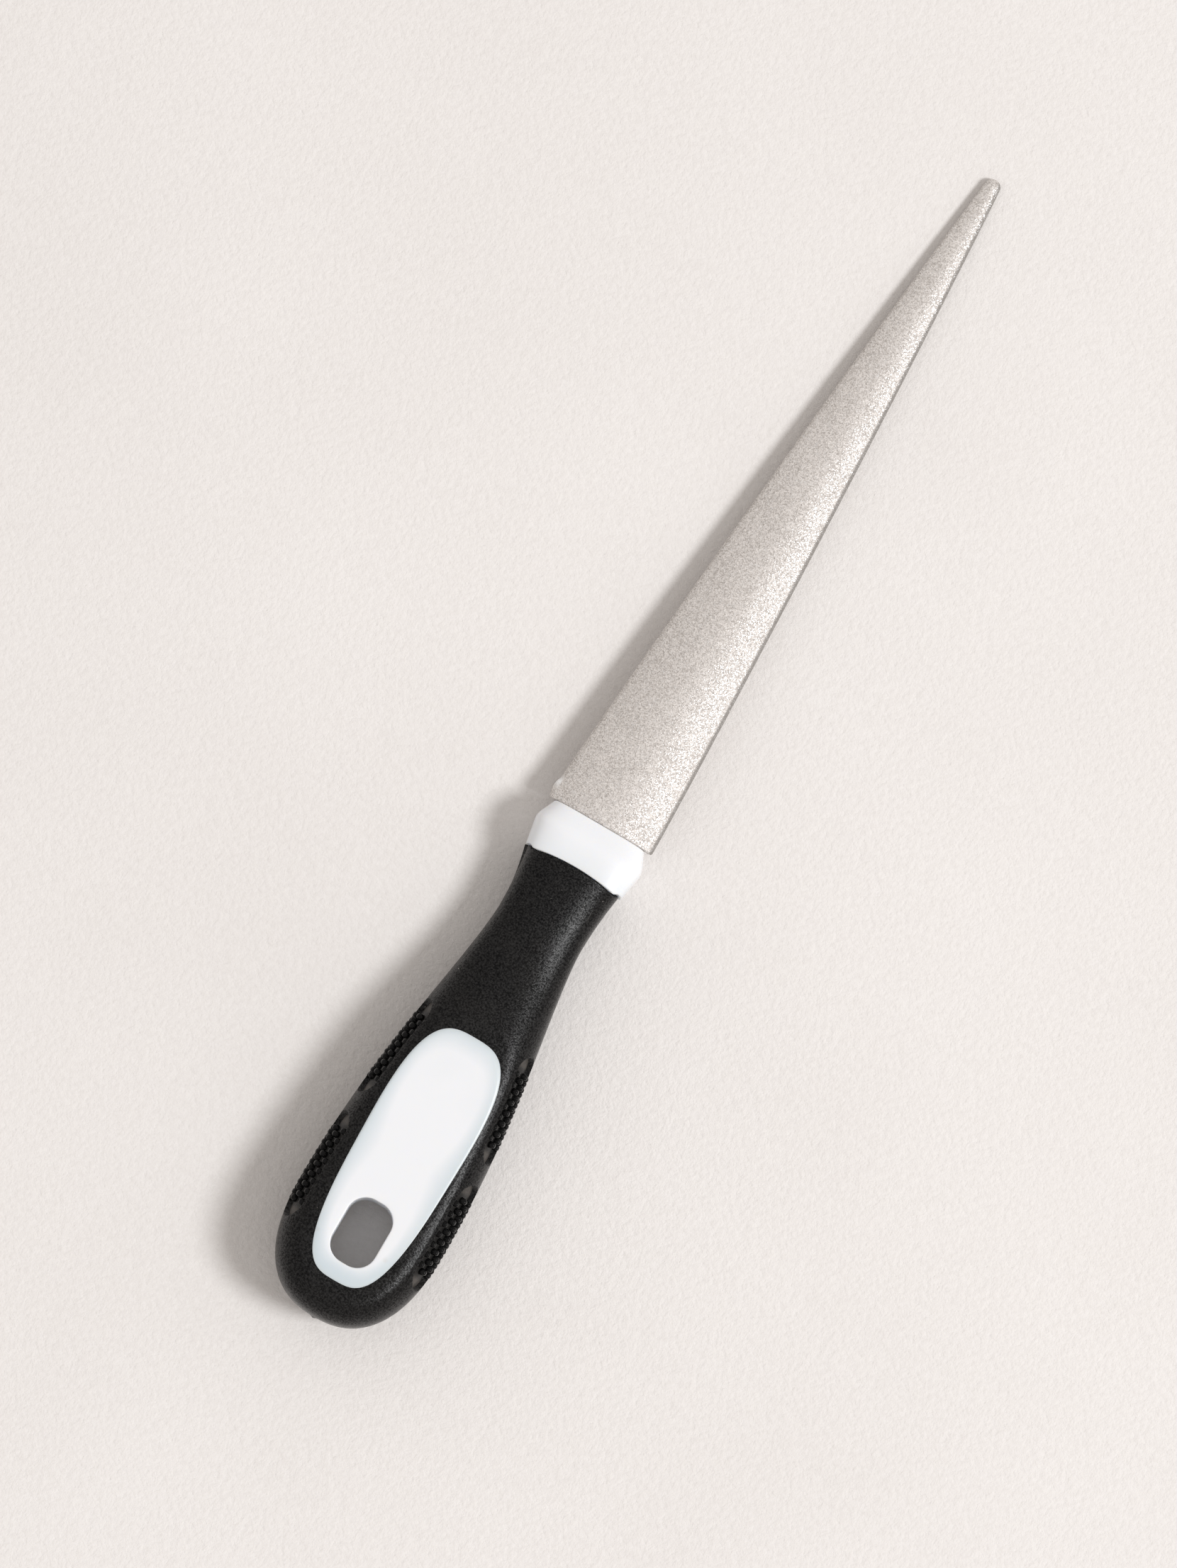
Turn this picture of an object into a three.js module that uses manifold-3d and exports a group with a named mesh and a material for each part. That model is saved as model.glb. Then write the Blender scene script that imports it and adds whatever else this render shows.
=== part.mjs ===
// Flat, tapered knife sharpening steel with a two-material handle.
// One steel plate, coated with abrasive grit, ends in a tang that is moulded into a rigid core.
// The core shows as the collar in front and as a flat land above and below, round the hang hole.
// A soft grip is moulded over the core, and eight studded pads sit in pockets in its flanks.
//
// Millimetres. The origin is the middle of the lower land, which the tool rests on.
// +Y runs to the tip, +Z is up, and X is across. Shapes are made about the middle plane, and
// the whole tool is then lifted by half its thickness.

import * as THREE from 'three';
import { mergeVertices } from 'three/addons/utils/BufferGeometryUtils.js';
import Module from 'manifold-3d';

const wasm = await Module();
wasm.setup();

// ---------------------------------------------------------------- driving dimensions

const GAP = 0.3; // clearance between neighbouring pieces

const HANDLE_LENGTH = 123; // butt to the collar's front face
const HANDLE_THICKNESS = 21; // lower land to upper land
const BELLY_FROM_BUTT = 25; // the belly's widest place, ahead of the butt
const NECK_WIDTH = 20.4; // narrowest place of the grip
const NECK_THICKNESS = 14.4; // grip's thickness at the neck
const NECK_FROM_COLLAR = 26; // neck, behind the collar's front face
const NECK_TO_FULL_THICKNESS = 38; // length over which the neck thickens to the lands
const FRONT_FLARE = 1.25; // the grip's growth per side, from the neck to its front edge
const CROWN = 2; // how far the grip's round section would stand above the land
const SECTION_POWER = 2.7; // the grip's section: 2 is an ellipse, more is squarer
const FLANK_POWER = 0.72; // where between neck and belly the flank swells
const BUTT_POWER = 2.4; // roundness of the butt seen from above
const BUTT_SIDE_POWER = 3.5; // roundness of the butt seen from the side

const LAND_LENGTH = 60.8; // flat white land, along the handle
const LAND_WIDTH = 22.5; // and across it
const LAND_MARGIN = 8.6; // soft grip behind the land's end
const LAND_POWER = 3.2; // the land's outline: 2 is an ellipse, more is squarer
const LAND_EGG = 0.06; // the land's front is fuller than its rear by this share
const FLAT_MARGIN = 2.6; // the grip stays flat this far ahead of the land
const FLAT_FALL_LENGTH = 12; // and then slopes down to the neck over this length
const FLAT_FALL = 0.9; // by this much

// The belly widens more than the land does, so that the pads keep clear of the core.
const BELLY_PER_LAND = 1.6;
const BELLY_INSET = 0.8;
const BELLY_WIDTH = BELLY_PER_LAND * LAND_WIDTH - BELLY_INSET; // widest place of the handle

const HOLE_LENGTH = 15.2; // hang hole, along the handle
const HOLE_WIDTH = 10.5; // and across it
const HOLE_CORNER = 4.4; // corner radius of the hang hole
const HOLE_FROM_BUTT = 20.6; // its centre, ahead of the butt

const COLLAR_LENGTH = 10.9; // the part of the core that shows in front of the grip
const COLLAR_CHAMFER = 4.5; // length of its sloping nose
const COLLAR_WIDTH = 26.4; // widest place of the collar
const COLLAR_THICKNESS = 16.4; // thickest place of the collar
const COLLAR_FACE_WIDTH = 22.4; // front face, across
const COLLAR_FACE_THICKNESS = 13.2; // front face, in height
const COLLAR_POWER = 4; // the collar's section: 2 is an ellipse, more is squarer
const COLLAR_UNDERLAP = 2.7; // the collar's body starts this far behind the seam, and is cut back to it
const SEAM_RADIUS = 56; // the grip's front edge is an arc of this radius, seen from above

const NECK_WALL = 2.4; // grip's thickness over the core at the neck
const BELLY_WALL = 4.3; // and in the flanks of the belly
const LAND_WALL = 2.4; // and above and below the core

const BLADE_LENGTH = 166.5; // steel in front of the collar
const BLADE_BASE_WIDTH = 25.8; // width at the collar
const BLADE_TIP_WIDTH = 3.2; // width just behind the tip's rounding
const BLADE_BASE_THICKNESS = 7.2; // thickness at the collar
const BLADE_TIP_THICKNESS = 2.4; // thickness just behind the tip's rounding
const BLADE_EDGE_THICKNESS = 1.5; // height of the rounded long edges
const BLADE_EDGE_BELLY = 0.85; // how far each long edge bows outwards
const BLADE_EDGE_BELLY_POWER = 0.6; // lower makes the bow flatter along its middle
const BLADE_LEAN_DEG = 1.25; // the plate's centre line leans towards +X
const TIP_ROUND = 1.3; // length of the rounding at the tip
const TIP_BLUNT = 0.4; // share of the section that is left at the very end of the tip
const EDGE_ROUND_POWER = 22; // higher keeps the edge rounding narrower

const TANG_WIDTH = 11; // flat tang inside the core
const TANG_THICKNESS = 3.6;
const TANG_CORNER = 2.75; // radius of the tang's rear corners
const TANG_TO_HOLE = 14; // core left between the tang and the hang hole
const TANG_HOLE_DIAMETER = 5.6; // holes that the core is moulded through
const TANG_HOLE_COUNT = 2;

const PAD_RECESS = 1.2; // pad floor below the grip's surface
const PAD_BASE = 0.8; // thickness of the pad under its studs
const PAD_TILT_DEG = 22; // pads face this far up or down from sideways
const PAD_PARTING = 1.0; // least distance between an upper pad and the lower one
const FRONT_PAD_SHARE = 0.3905; // height of a front pad, as a share of the handle's thickness
const REAR_PAD_SHARE = 0.419; // and of a rear pad
const PADS = [
  { place: 'front', length: 25.4, height: FRONT_PAD_SHARE * HANDLE_THICKNESS, along: 20.4 },
  { place: 'rear', length: 26.3, height: REAR_PAD_SHARE * HANDLE_THICKNESS, along: -10.2 },
];

const STUD_DIAMETER = 1.5; // at its root
const STUD_TIP_DIAMETER = 1.1;
const STUD_PITCH = 2.5; // between studs in one row along the pad
const STUD_ROW_PITCH = STUD_PITCH * Math.sin(Math.PI / 3); // rows nest between each other
const STUD_PROUD = 0.15; // above the grip's surface
const STUD_END_MARGIN = 4.1; // from the pad's rounded end to the first stud's centre
const STUD_SIDE_MARGIN = 0.85; // from the pad's long side to the first row's centre line

// Fineness of the faceted solids.
const SECTION_SIDES = 36;
const SPINE_SIDES = 20;
const BLADE_SIDES = 28;
const STUD_SIDES = 4; // square studs stand in for round ones
const OUTLINE_STEPS = 48;
const BUTT_STEPS = 8;
const BODY_STEPS = 16;
const BLADE_STEPS = 20;
const ROUND_STEPS = 4;
const SEAM_STEPS = 10;
const PAD_CORNER_STEPS = 2;
const HOLE_CORNER_STEPS = 4;
const EDGE_LEFT = 0.01; // straight stretch left between two full rounds
const REAR_START = 0.02; // the rear-most section lies this far ahead of the body's end
const LEAST_GRIP = 0.2; // half size that the grip's sections don't go below
const LEAST_SPINE = 1; // and the spine's
const MERGE_DISTANCE = 1e-5; // corners nearer than this are one
const REACH = 60; // longer than any cut has to be
const SEARCH_REACH = 8; // how far a surface is looked for along a line
const SEARCH_STEPS = 30;

// Turns an outline drawn in X and Y so that it lies in Y and Z, with its depth along X.
const OUTLINE_TO_YZ = new THREE.Matrix4().makeBasis(
  new THREE.Vector3(0, 1, 0),
  new THREE.Vector3(0, 0, 1),
  new THREE.Vector3(1, 0, 0),
);

// ---------------------------------------------------------------- places along the handle

const BUTT_Y = -(LAND_LENGTH / 2 + LAND_MARGIN);
const COLLAR_FACE_Y = BUTT_Y + HANDLE_LENGTH;
const SEAM_Y = COLLAR_FACE_Y - COLLAR_LENGTH;
const NECK_Y = COLLAR_FACE_Y - NECK_FROM_COLLAR;
const BELLY_Y = BUTT_Y + BELLY_FROM_BUTT;
const FULL_THICKNESS_Y = NECK_Y - NECK_TO_FULL_THICKNESS;
const HOLE_Y = BUTT_Y + HOLE_FROM_BUTT;
const BLADE_BASE_Y = COLLAR_FACE_Y + GAP;
const TANG_END_Y = HOLE_Y + HOLE_LENGTH / 2 + TANG_TO_HOLE;
const HALF_THICKNESS = HANDLE_THICKNESS / 2;
const LEAN = Math.tan(THREE.MathUtils.degToRad(BLADE_LEAN_DEG));

// ---------------------------------------------------------------- shape formulas

/** Power of a signed number that keeps its sign. */
function signedPower(value, power) {
  return Math.sign(value) * Math.abs(value) ** power;
}

/** 0 at the neck, 1 at the belly; the share of the swelling reached at a place along the handle. */
function flankShare(y) {
  const share = THREE.MathUtils.clamp((NECK_Y - y) / (NECK_Y - BELLY_Y), 0, 1);
  return Math.sin((Math.PI / 2) * share ** FLANK_POWER) ** 2;
}

/** 0 at the neck, 1 where the handle has its full thickness. */
function thicknessShare(y) {
  const share = THREE.MathUtils.clamp((NECK_Y - y) / (NECK_Y - FULL_THICKNESS_Y), 0, 1);
  return Math.sin((Math.PI / 2) * share) ** 2;
}

/** Growth from the neck to the grip's front edge. */
function frontFlare(y) {
  const share = Math.max(0, (y - NECK_Y) / (SEAM_Y - NECK_Y));
  return FRONT_FLARE * share ** 2;
}

/** Share of the full section that is left in the rounding of the butt. */
function buttShare(y, power) {
  const share = THREE.MathUtils.clamp((BELLY_Y - y) / BELLY_FROM_BUTT, 0, 1);
  return (1 - share ** power) ** (1 / power);
}

/** Half the grip's width at a place along the handle. */
function gripHalfWidth(y) {
  const swell = ((BELLY_WIDTH - NECK_WIDTH) / 2) * flankShare(y);
  return (NECK_WIDTH / 2 + swell + frontFlare(y)) * buttShare(y, BUTT_POWER);
}

/** Half the height of the grip's round section, before the lands cut it flat. */
function gripHalfHeight(y) {
  const swell = (HALF_THICKNESS + CROWN - NECK_THICKNESS / 2) * thicknessShare(y);
  return (NECK_THICKNESS / 2 + swell + frontFlare(y)) * buttShare(y, BUTT_SIDE_POWER);
}

/** The grip's thickness over the sides of the core. */
function sideWall(y) {
  return THREE.MathUtils.lerp(NECK_WALL, BELLY_WALL, flankShare(y));
}

/** Distance from the axis to the flank of the round section, at a height above the middle plane. */
function flankPoint(y, z) {
  const share = 1 - (z / gripHalfHeight(y)) ** SECTION_POWER;
  return gripHalfWidth(y) * share ** (1 / SECTION_POWER);
}

/** 0 at the tip, 1 at the collar. */
function bladeShare(y) {
  return (BLADE_BASE_Y + BLADE_LENGTH - y) / BLADE_LENGTH;
}

/** Half the blade's width, which runs straight from tip to base with a slight bow. */
function bladeHalfWidth(y) {
  const share = THREE.MathUtils.clamp(bladeShare(y), 0, 1);
  const straight = THREE.MathUtils.lerp(BLADE_TIP_WIDTH, BLADE_BASE_WIDTH, share) / 2;
  return straight + BLADE_EDGE_BELLY * Math.sin(Math.PI * share) ** BLADE_EDGE_BELLY_POWER;
}

/** Half the blade's thickness at its middle, which grows with its width. */
function bladeHalfThickness(y) {
  const share = (2 * bladeHalfWidth(y) - BLADE_TIP_WIDTH) / (BLADE_BASE_WIDTH - BLADE_TIP_WIDTH);
  return THREE.MathUtils.lerp(BLADE_TIP_THICKNESS, BLADE_BASE_THICKNESS, share) / 2;
}

// ---------------------------------------------------------------- solids

/** A closed three.js geometry as a solid that can be cut and joined. */
function solidOf(geometry) {
  const bare = geometry.index ? geometry.toNonIndexed() : geometry;
  bare.deleteAttribute('normal');
  bare.deleteAttribute('uv');
  const merged = mergeVertices(bare, MERGE_DISTANCE);
  const vertProperties = new Float32Array(merged.attributes.position.array);
  const triVerts = new Uint32Array(merged.index.array);
  return new wasm.Manifold(new wasm.Mesh({ numProp: 3, vertProperties, triVerts }));
}

/** A solid as a three.js geometry. */
function geometryOf(solid) {
  const mesh = solid.getMesh();
  const geometry = new THREE.BufferGeometry();
  geometry.setAttribute('position', new THREE.BufferAttribute(mesh.vertProperties, 3));
  geometry.setIndex(new THREE.BufferAttribute(mesh.triVerts, 1));
  geometry.computeVertexNormals();
  return geometry;
}

/** A body along Y: the section formula gives a point for a station and an angle. */
function loft(stations, sides, section) {
  const geometry = new THREE.CylinderGeometry(1, 1, 1, sides, stations.length - 1);
  const position = geometry.attributes.position;
  for (let i = 0; i < position.count; i += 1) {
    const station = Math.round((position.getY(i) + 0.5) * (stations.length - 1));
    const y = stations[station];
    const reach = Math.hypot(position.getX(i), position.getZ(i));
    const angle = Math.atan2(position.getX(i), position.getZ(i));
    const [x, z, shift] = section(y, angle);
    position.setXYZ(i, reach * x + shift, y, reach * z);
  }
  return solidOf(geometry);
}

/** A flat outline, extruded along Z, equally above and below the middle plane. */
function plate(shape, thickness) {
  const geometry = new THREE.ExtrudeGeometry(shape, { depth: thickness, bevelEnabled: false });
  geometry.translate(0, 0, -thickness / 2);
  return solidOf(geometry);
}

/** Stations that crowd together towards the butt, and then run evenly to the front. */
function handleStations(rear, front) {
  const stations = [];
  const start = Math.asin(Math.min(1, (BELLY_Y - rear) / BELLY_FROM_BUTT));
  for (let i = 0; i < BUTT_STEPS; i += 1) {
    stations.push(BELLY_Y - BELLY_FROM_BUTT * Math.sin(start * (1 - i / BUTT_STEPS)));
  }
  for (let i = 0; i <= BODY_STEPS; i += 1) {
    stations.push(THREE.MathUtils.lerp(BELLY_Y, front, i / BODY_STEPS));
  }
  return stations;
}

/** The grip's round body, which runs on past the seam. */
function gripBody() {
  const rear = BUTT_Y + REAR_START;
  const power = 2 / SECTION_POWER;
  return loft(handleStations(rear, COLLAR_FACE_Y), SECTION_SIDES, (y, angle) => [
    Math.max(LEAST_GRIP, gripHalfWidth(y)) * signedPower(Math.sin(angle), power),
    Math.max(LEAST_GRIP, gripHalfHeight(y)) * signedPower(Math.cos(angle), power),
    0,
  ]);
}

/** The core's body under the grip; a larger one is the cavity that the grip keeps for it. */
function spineBody(grow) {
  const rear = BUTT_Y + BELLY_WALL + GAP - grow;
  const front = COLLAR_FACE_Y - COLLAR_CHAMFER;
  const power = 2 / SECTION_POWER;
  return loft(handleStations(rear, front), SPINE_SIDES, (y, angle) => {
    const halfWidth = Math.max(LEAST_SPINE, gripHalfWidth(y) - sideWall(y) - GAP + grow);
    const halfHeight = Math.max(LEAST_SPINE, gripHalfHeight(y) - LAND_WALL - GAP + grow);
    const x = halfWidth * signedPower(Math.sin(angle), power);
    const z = halfHeight * signedPower(Math.cos(angle), power);
    return [x, z, 0];
  }).intersect(slab(HALF_THICKNESS - LAND_WALL - GAP + grow));
}

/** Everything within a height of the middle plane. */
function slab(halfHeight) {
  const length = HANDLE_LENGTH + REACH;
  return solidOf(new THREE.BoxGeometry(BELLY_WIDTH + REACH, 2 * length, 2 * halfHeight));
}

/** Everything between the planes of the two lands, which draw together ahead of the lands. */
function betweenLands() {
  const rear = BUTT_Y - REACH;
  const flatEnd = LAND_LENGTH / 2 + FLAT_MARGIN;
  const fallEnd = flatEnd + FLAT_FALL_LENGTH;
  const front = COLLAR_FACE_Y + REACH;
  const low = HALF_THICKNESS - FLAT_FALL;
  const outline = new THREE.Shape();
  outline.moveTo(rear, -HALF_THICKNESS);
  outline.lineTo(flatEnd, -HALF_THICKNESS);
  outline.lineTo(fallEnd, -low);
  outline.lineTo(front, -low);
  outline.lineTo(front, low);
  outline.lineTo(fallEnd, low);
  outline.lineTo(flatEnd, HALF_THICKNESS);
  outline.lineTo(rear, HALF_THICKNESS);
  const depth = BELLY_WIDTH + REACH;
  const geometry = new THREE.ExtrudeGeometry(outline, { depth, bevelEnabled: false });
  geometry.translate(0, 0, -depth / 2);
  geometry.applyMatrix4(OUTLINE_TO_YZ);
  return solidOf(geometry);
}

/** The land's outline, an egg with square shoulders, grown by a clearance. */
function landOutline(grow) {
  const points = [];
  for (let i = 0; i < OUTLINE_STEPS; i += 1) {
    const angle = (2 * Math.PI * i) / OUTLINE_STEPS;
    const along = signedPower(Math.sin(angle), 2 / LAND_POWER);
    const across = signedPower(Math.cos(angle), 2 / LAND_POWER) * (1 + LAND_EGG * along);
    const x = (LAND_WIDTH / 2 + grow) * across;
    const y = (LAND_LENGTH / 2 + grow) * along;
    points.push(new THREE.Vector2(x, y));
  }
  return new THREE.Shape(points);
}

/** A rectangle with round corners about a centre; each corner has twice its steps in sides. */
function roundedRectangle(width, length, radius, centreY, cornerSteps) {
  const x = width / 2;
  const y = length / 2;
  const shape = new THREE.Shape();
  shape.absarc(x - radius, centreY + y - radius, radius, 0, Math.PI / 2);
  shape.absarc(-x + radius, centreY + y - radius, radius, Math.PI / 2, Math.PI);
  shape.absarc(-x + radius, centreY - y + radius, radius, Math.PI, 1.5 * Math.PI);
  shape.absarc(x - radius, centreY - y + radius, radius, 1.5 * Math.PI, 2 * Math.PI);
  return new THREE.Shape(shape.getPoints(cornerSteps));
}

/** Everything behind the seam, whose front is an arc, grown forwards by a clearance. */
function behindSeam(grow) {
  const side = BELLY_WIDTH;
  const radius = SEAM_RADIUS + grow;
  const turn = Math.asin(side / radius);
  const shape = new THREE.Shape();
  shape.moveTo(-side, BUTT_Y - REACH);
  shape.lineTo(side, BUTT_Y - REACH);
  shape.absarc(0, SEAM_Y - SEAM_RADIUS, radius, Math.PI / 2 - turn, Math.PI / 2 + turn);
  return plate(new THREE.Shape(shape.getPoints(SEAM_STEPS)), REACH);
}

// ---------------------------------------------------------------- the steel

/** The section of the plate: a shallow crown above and below, with narrow rounded edges. */
function bladeSection(y, angle) {
  const fromTip = BLADE_BASE_Y + BLADE_LENGTH - y;
  const tipShare = Math.min(1, fromTip / TIP_ROUND);
  const round = TIP_BLUNT + (1 - TIP_BLUNT) * Math.sqrt(1 - (1 - tipShare) ** 2);
  const edge = (BLADE_EDGE_THICKNESS / 2) * round;
  const crown = (bladeHalfThickness(y) - BLADE_EDGE_THICKNESS / 2) * round;
  const across = Math.sin(angle);
  const rounding = Math.sqrt(Math.max(0, 1 - Math.abs(across) ** EDGE_ROUND_POWER));
  const height = crown * (1 - across ** 2) + edge * rounding;
  const shift = LEAN * (y - BLADE_BASE_Y);
  return [bladeHalfWidth(y) * round * across, height * Math.sign(Math.cos(angle)), shift];
}

/** The tang, moulded into the core; a larger one is the space that the core keeps for it. */
function tangBody(grow) {
  const rear = TANG_END_Y - grow;
  const front = BLADE_BASE_Y + GAP;
  const side = TANG_WIDTH / 2 + grow;
  const radius = TANG_CORNER;
  const outline = new THREE.Shape();
  outline.moveTo(side, front);
  outline.lineTo(-side, front);
  outline.absarc(-side + radius, rear + radius, radius, Math.PI, 1.5 * Math.PI);
  outline.absarc(side - radius, rear + radius, radius, 1.5 * Math.PI, 2 * Math.PI);
  const flat = new THREE.Shape(outline.getPoints(ROUND_STEPS));
  for (let i = 1; i <= TANG_HOLE_COUNT; i += 1) {
    const y = THREE.MathUtils.lerp(TANG_END_Y, SEAM_Y, i / (TANG_HOLE_COUNT + 1));
    const hole = new THREE.Path();
    hole.absarc(0, y, TANG_HOLE_DIAMETER / 2 - grow, 0, 2 * Math.PI, true);
    flat.holes.push(new THREE.Path(hole.getPoints(ROUND_STEPS * 2).slice(0, -1)));
  }
  const depth = TANG_THICKNESS + 2 * grow;
  const geometry = new THREE.ExtrudeGeometry(flat, { depth, bevelEnabled: false });
  geometry.translate(0, 0, -depth / 2);
  const position = geometry.attributes.position;
  for (let i = 0; i < position.count; i += 1) {
    position.setX(i, position.getX(i) + LEAN * (position.getY(i) - BLADE_BASE_Y));
  }
  return solidOf(geometry);
}

/** Blade and tang are one plate of steel. */
function makeSteel() {
  const stations = [];
  const roundingStart = BLADE_BASE_Y + BLADE_LENGTH - TIP_ROUND;
  for (let i = 0; i < BLADE_STEPS; i += 1) {
    stations.push(THREE.MathUtils.lerp(BLADE_BASE_Y, roundingStart, i / BLADE_STEPS));
  }
  for (let i = 0; i <= ROUND_STEPS; i += 1) {
    const turn = ((Math.PI / 2) * i) / ROUND_STEPS;
    stations.push(roundingStart + TIP_ROUND * Math.sin(turn));
  }
  return loft(stations, BLADE_SIDES, bladeSection).add(tangBody(0));
}

// ---------------------------------------------------------------- the core

/** The collar's nose slopes out to its widest ring, and then tapers back to the grip. */
function collarBody() {
  const wideY = COLLAR_FACE_Y - COLLAR_CHAMFER;
  const rearY = SEAM_Y - COLLAR_UNDERLAP;
  const stations = [rearY, wideY, COLLAR_FACE_Y];
  const halfWidths = [gripHalfWidth(SEAM_Y), COLLAR_WIDTH / 2, COLLAR_FACE_WIDTH / 2];
  const halfHeights = [gripHalfHeight(SEAM_Y), COLLAR_THICKNESS / 2, COLLAR_FACE_THICKNESS / 2];
  return loft(stations, SECTION_SIDES, (y, angle) => {
    const place = stations.indexOf(y);
    return [
      halfWidths[place] * signedPower(Math.sin(angle), 2 / COLLAR_POWER),
      halfHeights[place] * signedPower(Math.cos(angle), 2 / COLLAR_POWER),
      0,
    ];
  });
}

/** One rigid moulding: collar, spine, both lands and the wall of the hang hole. */
function makeCore() {
  const corner = HOLE_CORNER_STEPS;
  const hangHole = roundedRectangle(HOLE_WIDTH, HOLE_LENGTH, HOLE_CORNER, HOLE_Y, corner);
  return collarBody()
    .subtract(behindSeam(GAP))
    .add(spineBody(0))
    .add(plate(landOutline(0), HANDLE_THICKNESS))
    .subtract(plate(hangHole, HANDLE_THICKNESS + REACH))
    .subtract(tangBody(GAP));
}

// ---------------------------------------------------------------- pads and their pockets

/** The pad's own axes at its place: X along it, Y across it, Z out of the flank. */
function padFrame(pad, side, level) {
  const tilt = THREE.MathUtils.degToRad(PAD_TILT_DEG);
  const depth = PAD_RECESS + PAD_BASE + 2 * GAP;
  const up = (pad.height / 2) * Math.cos(tilt) + depth * Math.sin(tilt) + PAD_PARTING / 2;
  const ahead = pad.along + pad.length / 4;
  const behind = pad.along - pad.length / 4;
  const slope = (flankPoint(ahead, up) - flankPoint(behind, up)) / (ahead - behind);
  const along = new THREE.Vector3(side * slope, 1, 0).normalize();
  const out = new THREE.Vector3(side * Math.cos(tilt), 0, level * Math.sin(tilt));
  out.addScaledVector(along, -out.dot(along)).normalize();
  const across = new THREE.Vector3().crossVectors(out, along);
  const frame = new THREE.Matrix4().makeBasis(along, across, out);
  frame.setPosition(side * flankPoint(pad.along, up), pad.along, level * up);
  return frame;
}

/** How far the grip's surface stands out of the pad's own plane, at a place on the pad. */
function surfaceRise(frame, alongPad, acrossPad) {
  let low = -SEARCH_REACH;
  let high = SEARCH_REACH;
  const point = new THREE.Vector3();
  for (let i = 0; i < SEARCH_STEPS; i += 1) {
    const middle = (low + high) / 2;
    point.set(alongPad, acrossPad, middle).applyMatrix4(frame);
    const across = Math.abs(point.x) / gripHalfWidth(point.y);
    const up = Math.abs(point.z) / gripHalfHeight(point.y);
    const inside = across ** SECTION_POWER + up ** SECTION_POWER < 1;
    low = inside ? middle : low;
    high = inside ? high : middle;
  }
  return low;
}

/** Rows of studs that fit across the pad. */
function studRows(pad) {
  return Math.floor((pad.height - 2 * STUD_SIDE_MARGIN) / STUD_ROW_PITCH) + 1;
}

/** A prism with the pad's rounded outline, through the grip's surface. */
function padPrism(pad, frame, grow) {
  const width = pad.length + 2 * grow;
  const height = pad.height + 2 * grow;
  const outline = roundedRectangle(width, height, height / 2 - EDGE_LEFT, 0, PAD_CORNER_STEPS);
  const geometry = new THREE.ExtrudeGeometry(outline, { depth: REACH, bevelEnabled: false });
  geometry.translate(0, 0, -REACH / 2);
  geometry.applyMatrix4(frame);
  return solidOf(geometry);
}

/** A layer along the pad between two depths under the grip's surface, with a facet for each row. */
function padLayer(pad, frame, topDepth, bottomDepth) {
  const facets = studRows(pad) + 2;
  const top = [];
  const bottom = [];
  for (let i = 0; i <= facets; i += 1) {
    const across = (i - facets / 2) * STUD_ROW_PITCH;
    const rise = surfaceRise(frame, 0, across);
    top.push(new THREE.Vector2(across, rise - topDepth));
    bottom.push(new THREE.Vector2(across, rise - bottomDepth));
  }
  const section = new THREE.Shape([...bottom, ...top.reverse()]);
  const length = pad.length + 2 * STUD_PITCH;
  const geometry = new THREE.ExtrudeGeometry(section, { depth: length, bevelEnabled: false });
  geometry.translate(0, 0, -length / 2);
  geometry.applyMatrix4(OUTLINE_TO_YZ);
  geometry.applyMatrix4(frame);
  return solidOf(geometry);
}

/** The recess that the pad sits in. */
function padPocket(pad, frame) {
  const layer = padLayer(pad, frame, -BELLY_WALL, PAD_RECESS + PAD_BASE + GAP);
  return padPrism(pad, frame, 0).intersect(layer);
}

/** One tapered stud, from inside the pad's base to just above the grip's surface. */
function studBody(frame, x, y) {
  const foot = surfaceRise(frame, 0, y) - PAD_RECESS - PAD_BASE / 2;
  const tip = surfaceRise(frame, x, y) + STUD_PROUD;
  const radii = [STUD_TIP_DIAMETER / 2, STUD_DIAMETER / 2];
  const geometry = new THREE.CylinderGeometry(...radii, tip - foot, STUD_SIDES);
  geometry.rotateX(Math.PI / 2);
  geometry.translate(x, y, (tip + foot) / 2);
  geometry.applyMatrix4(frame);
  return solidOf(geometry);
}

/** A base that follows the flank, with staggered rows of studs that point out of it. */
function makePad(pad, frame) {
  const rows = studRows(pad);
  const steps = Math.floor((pad.length - 2 * STUD_END_MARGIN) / (STUD_PITCH / 2)) + 1;
  const layer = padLayer(pad, frame, PAD_RECESS, PAD_RECESS + PAD_BASE);
  let solid = padPrism(pad, frame, -GAP).intersect(layer);
  for (let row = 0; row < rows; row += 1) {
    const y = (row - (rows - 1) / 2) * STUD_ROW_PITCH;
    for (let step = row % 2; step < steps; step += 2) {
      const x = (step - (steps - 1) / 2) * (STUD_PITCH / 2);
      solid = solid.add(studBody(frame, x, y));
    }
  }
  return solid;
}

/** Every pad, with the name that its place gives it. */
function listPads() {
  const list = [];
  for (const [levelName, level] of [['upper', 1], ['lower', -1]]) {
    for (const [sideName, side] of [['left', -1], ['right', 1]]) {
      for (const pad of PADS) {
        const name = `stud_pad_${levelName}_${sideName}_${pad.place}`;
        list.push({ name, pad, frame: padFrame(pad, side, level) });
      }
    }
  }
  return list;
}

// ---------------------------------------------------------------- the grip

/** The soft moulding round the core, with its windows for the lands and its pockets. */
function makeGrip(pads) {
  let grip = gripBody()
    .intersect(betweenLands())
    .intersect(behindSeam(0))
    .subtract(spineBody(GAP))
    .subtract(plate(landOutline(GAP), HANDLE_THICKNESS + REACH));
  for (const { pad, frame } of pads) {
    grip = grip.subtract(padPocket(pad, frame));
  }
  return grip;
}

// ---------------------------------------------------------------- materials and assembly

const gritSteel = { color: 0xb9b2aa, roughness: 0.5, metalness: 0.85 };
const rigidWhite = { color: 0xeef1f4, roughness: 0.35, metalness: 0 };
const softBlack = { color: 0x1a1a1b, roughness: 0.6, metalness: 0 };
const studBlack = { color: 0x0d0d0e, roughness: 0.3, metalness: 0 };

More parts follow.
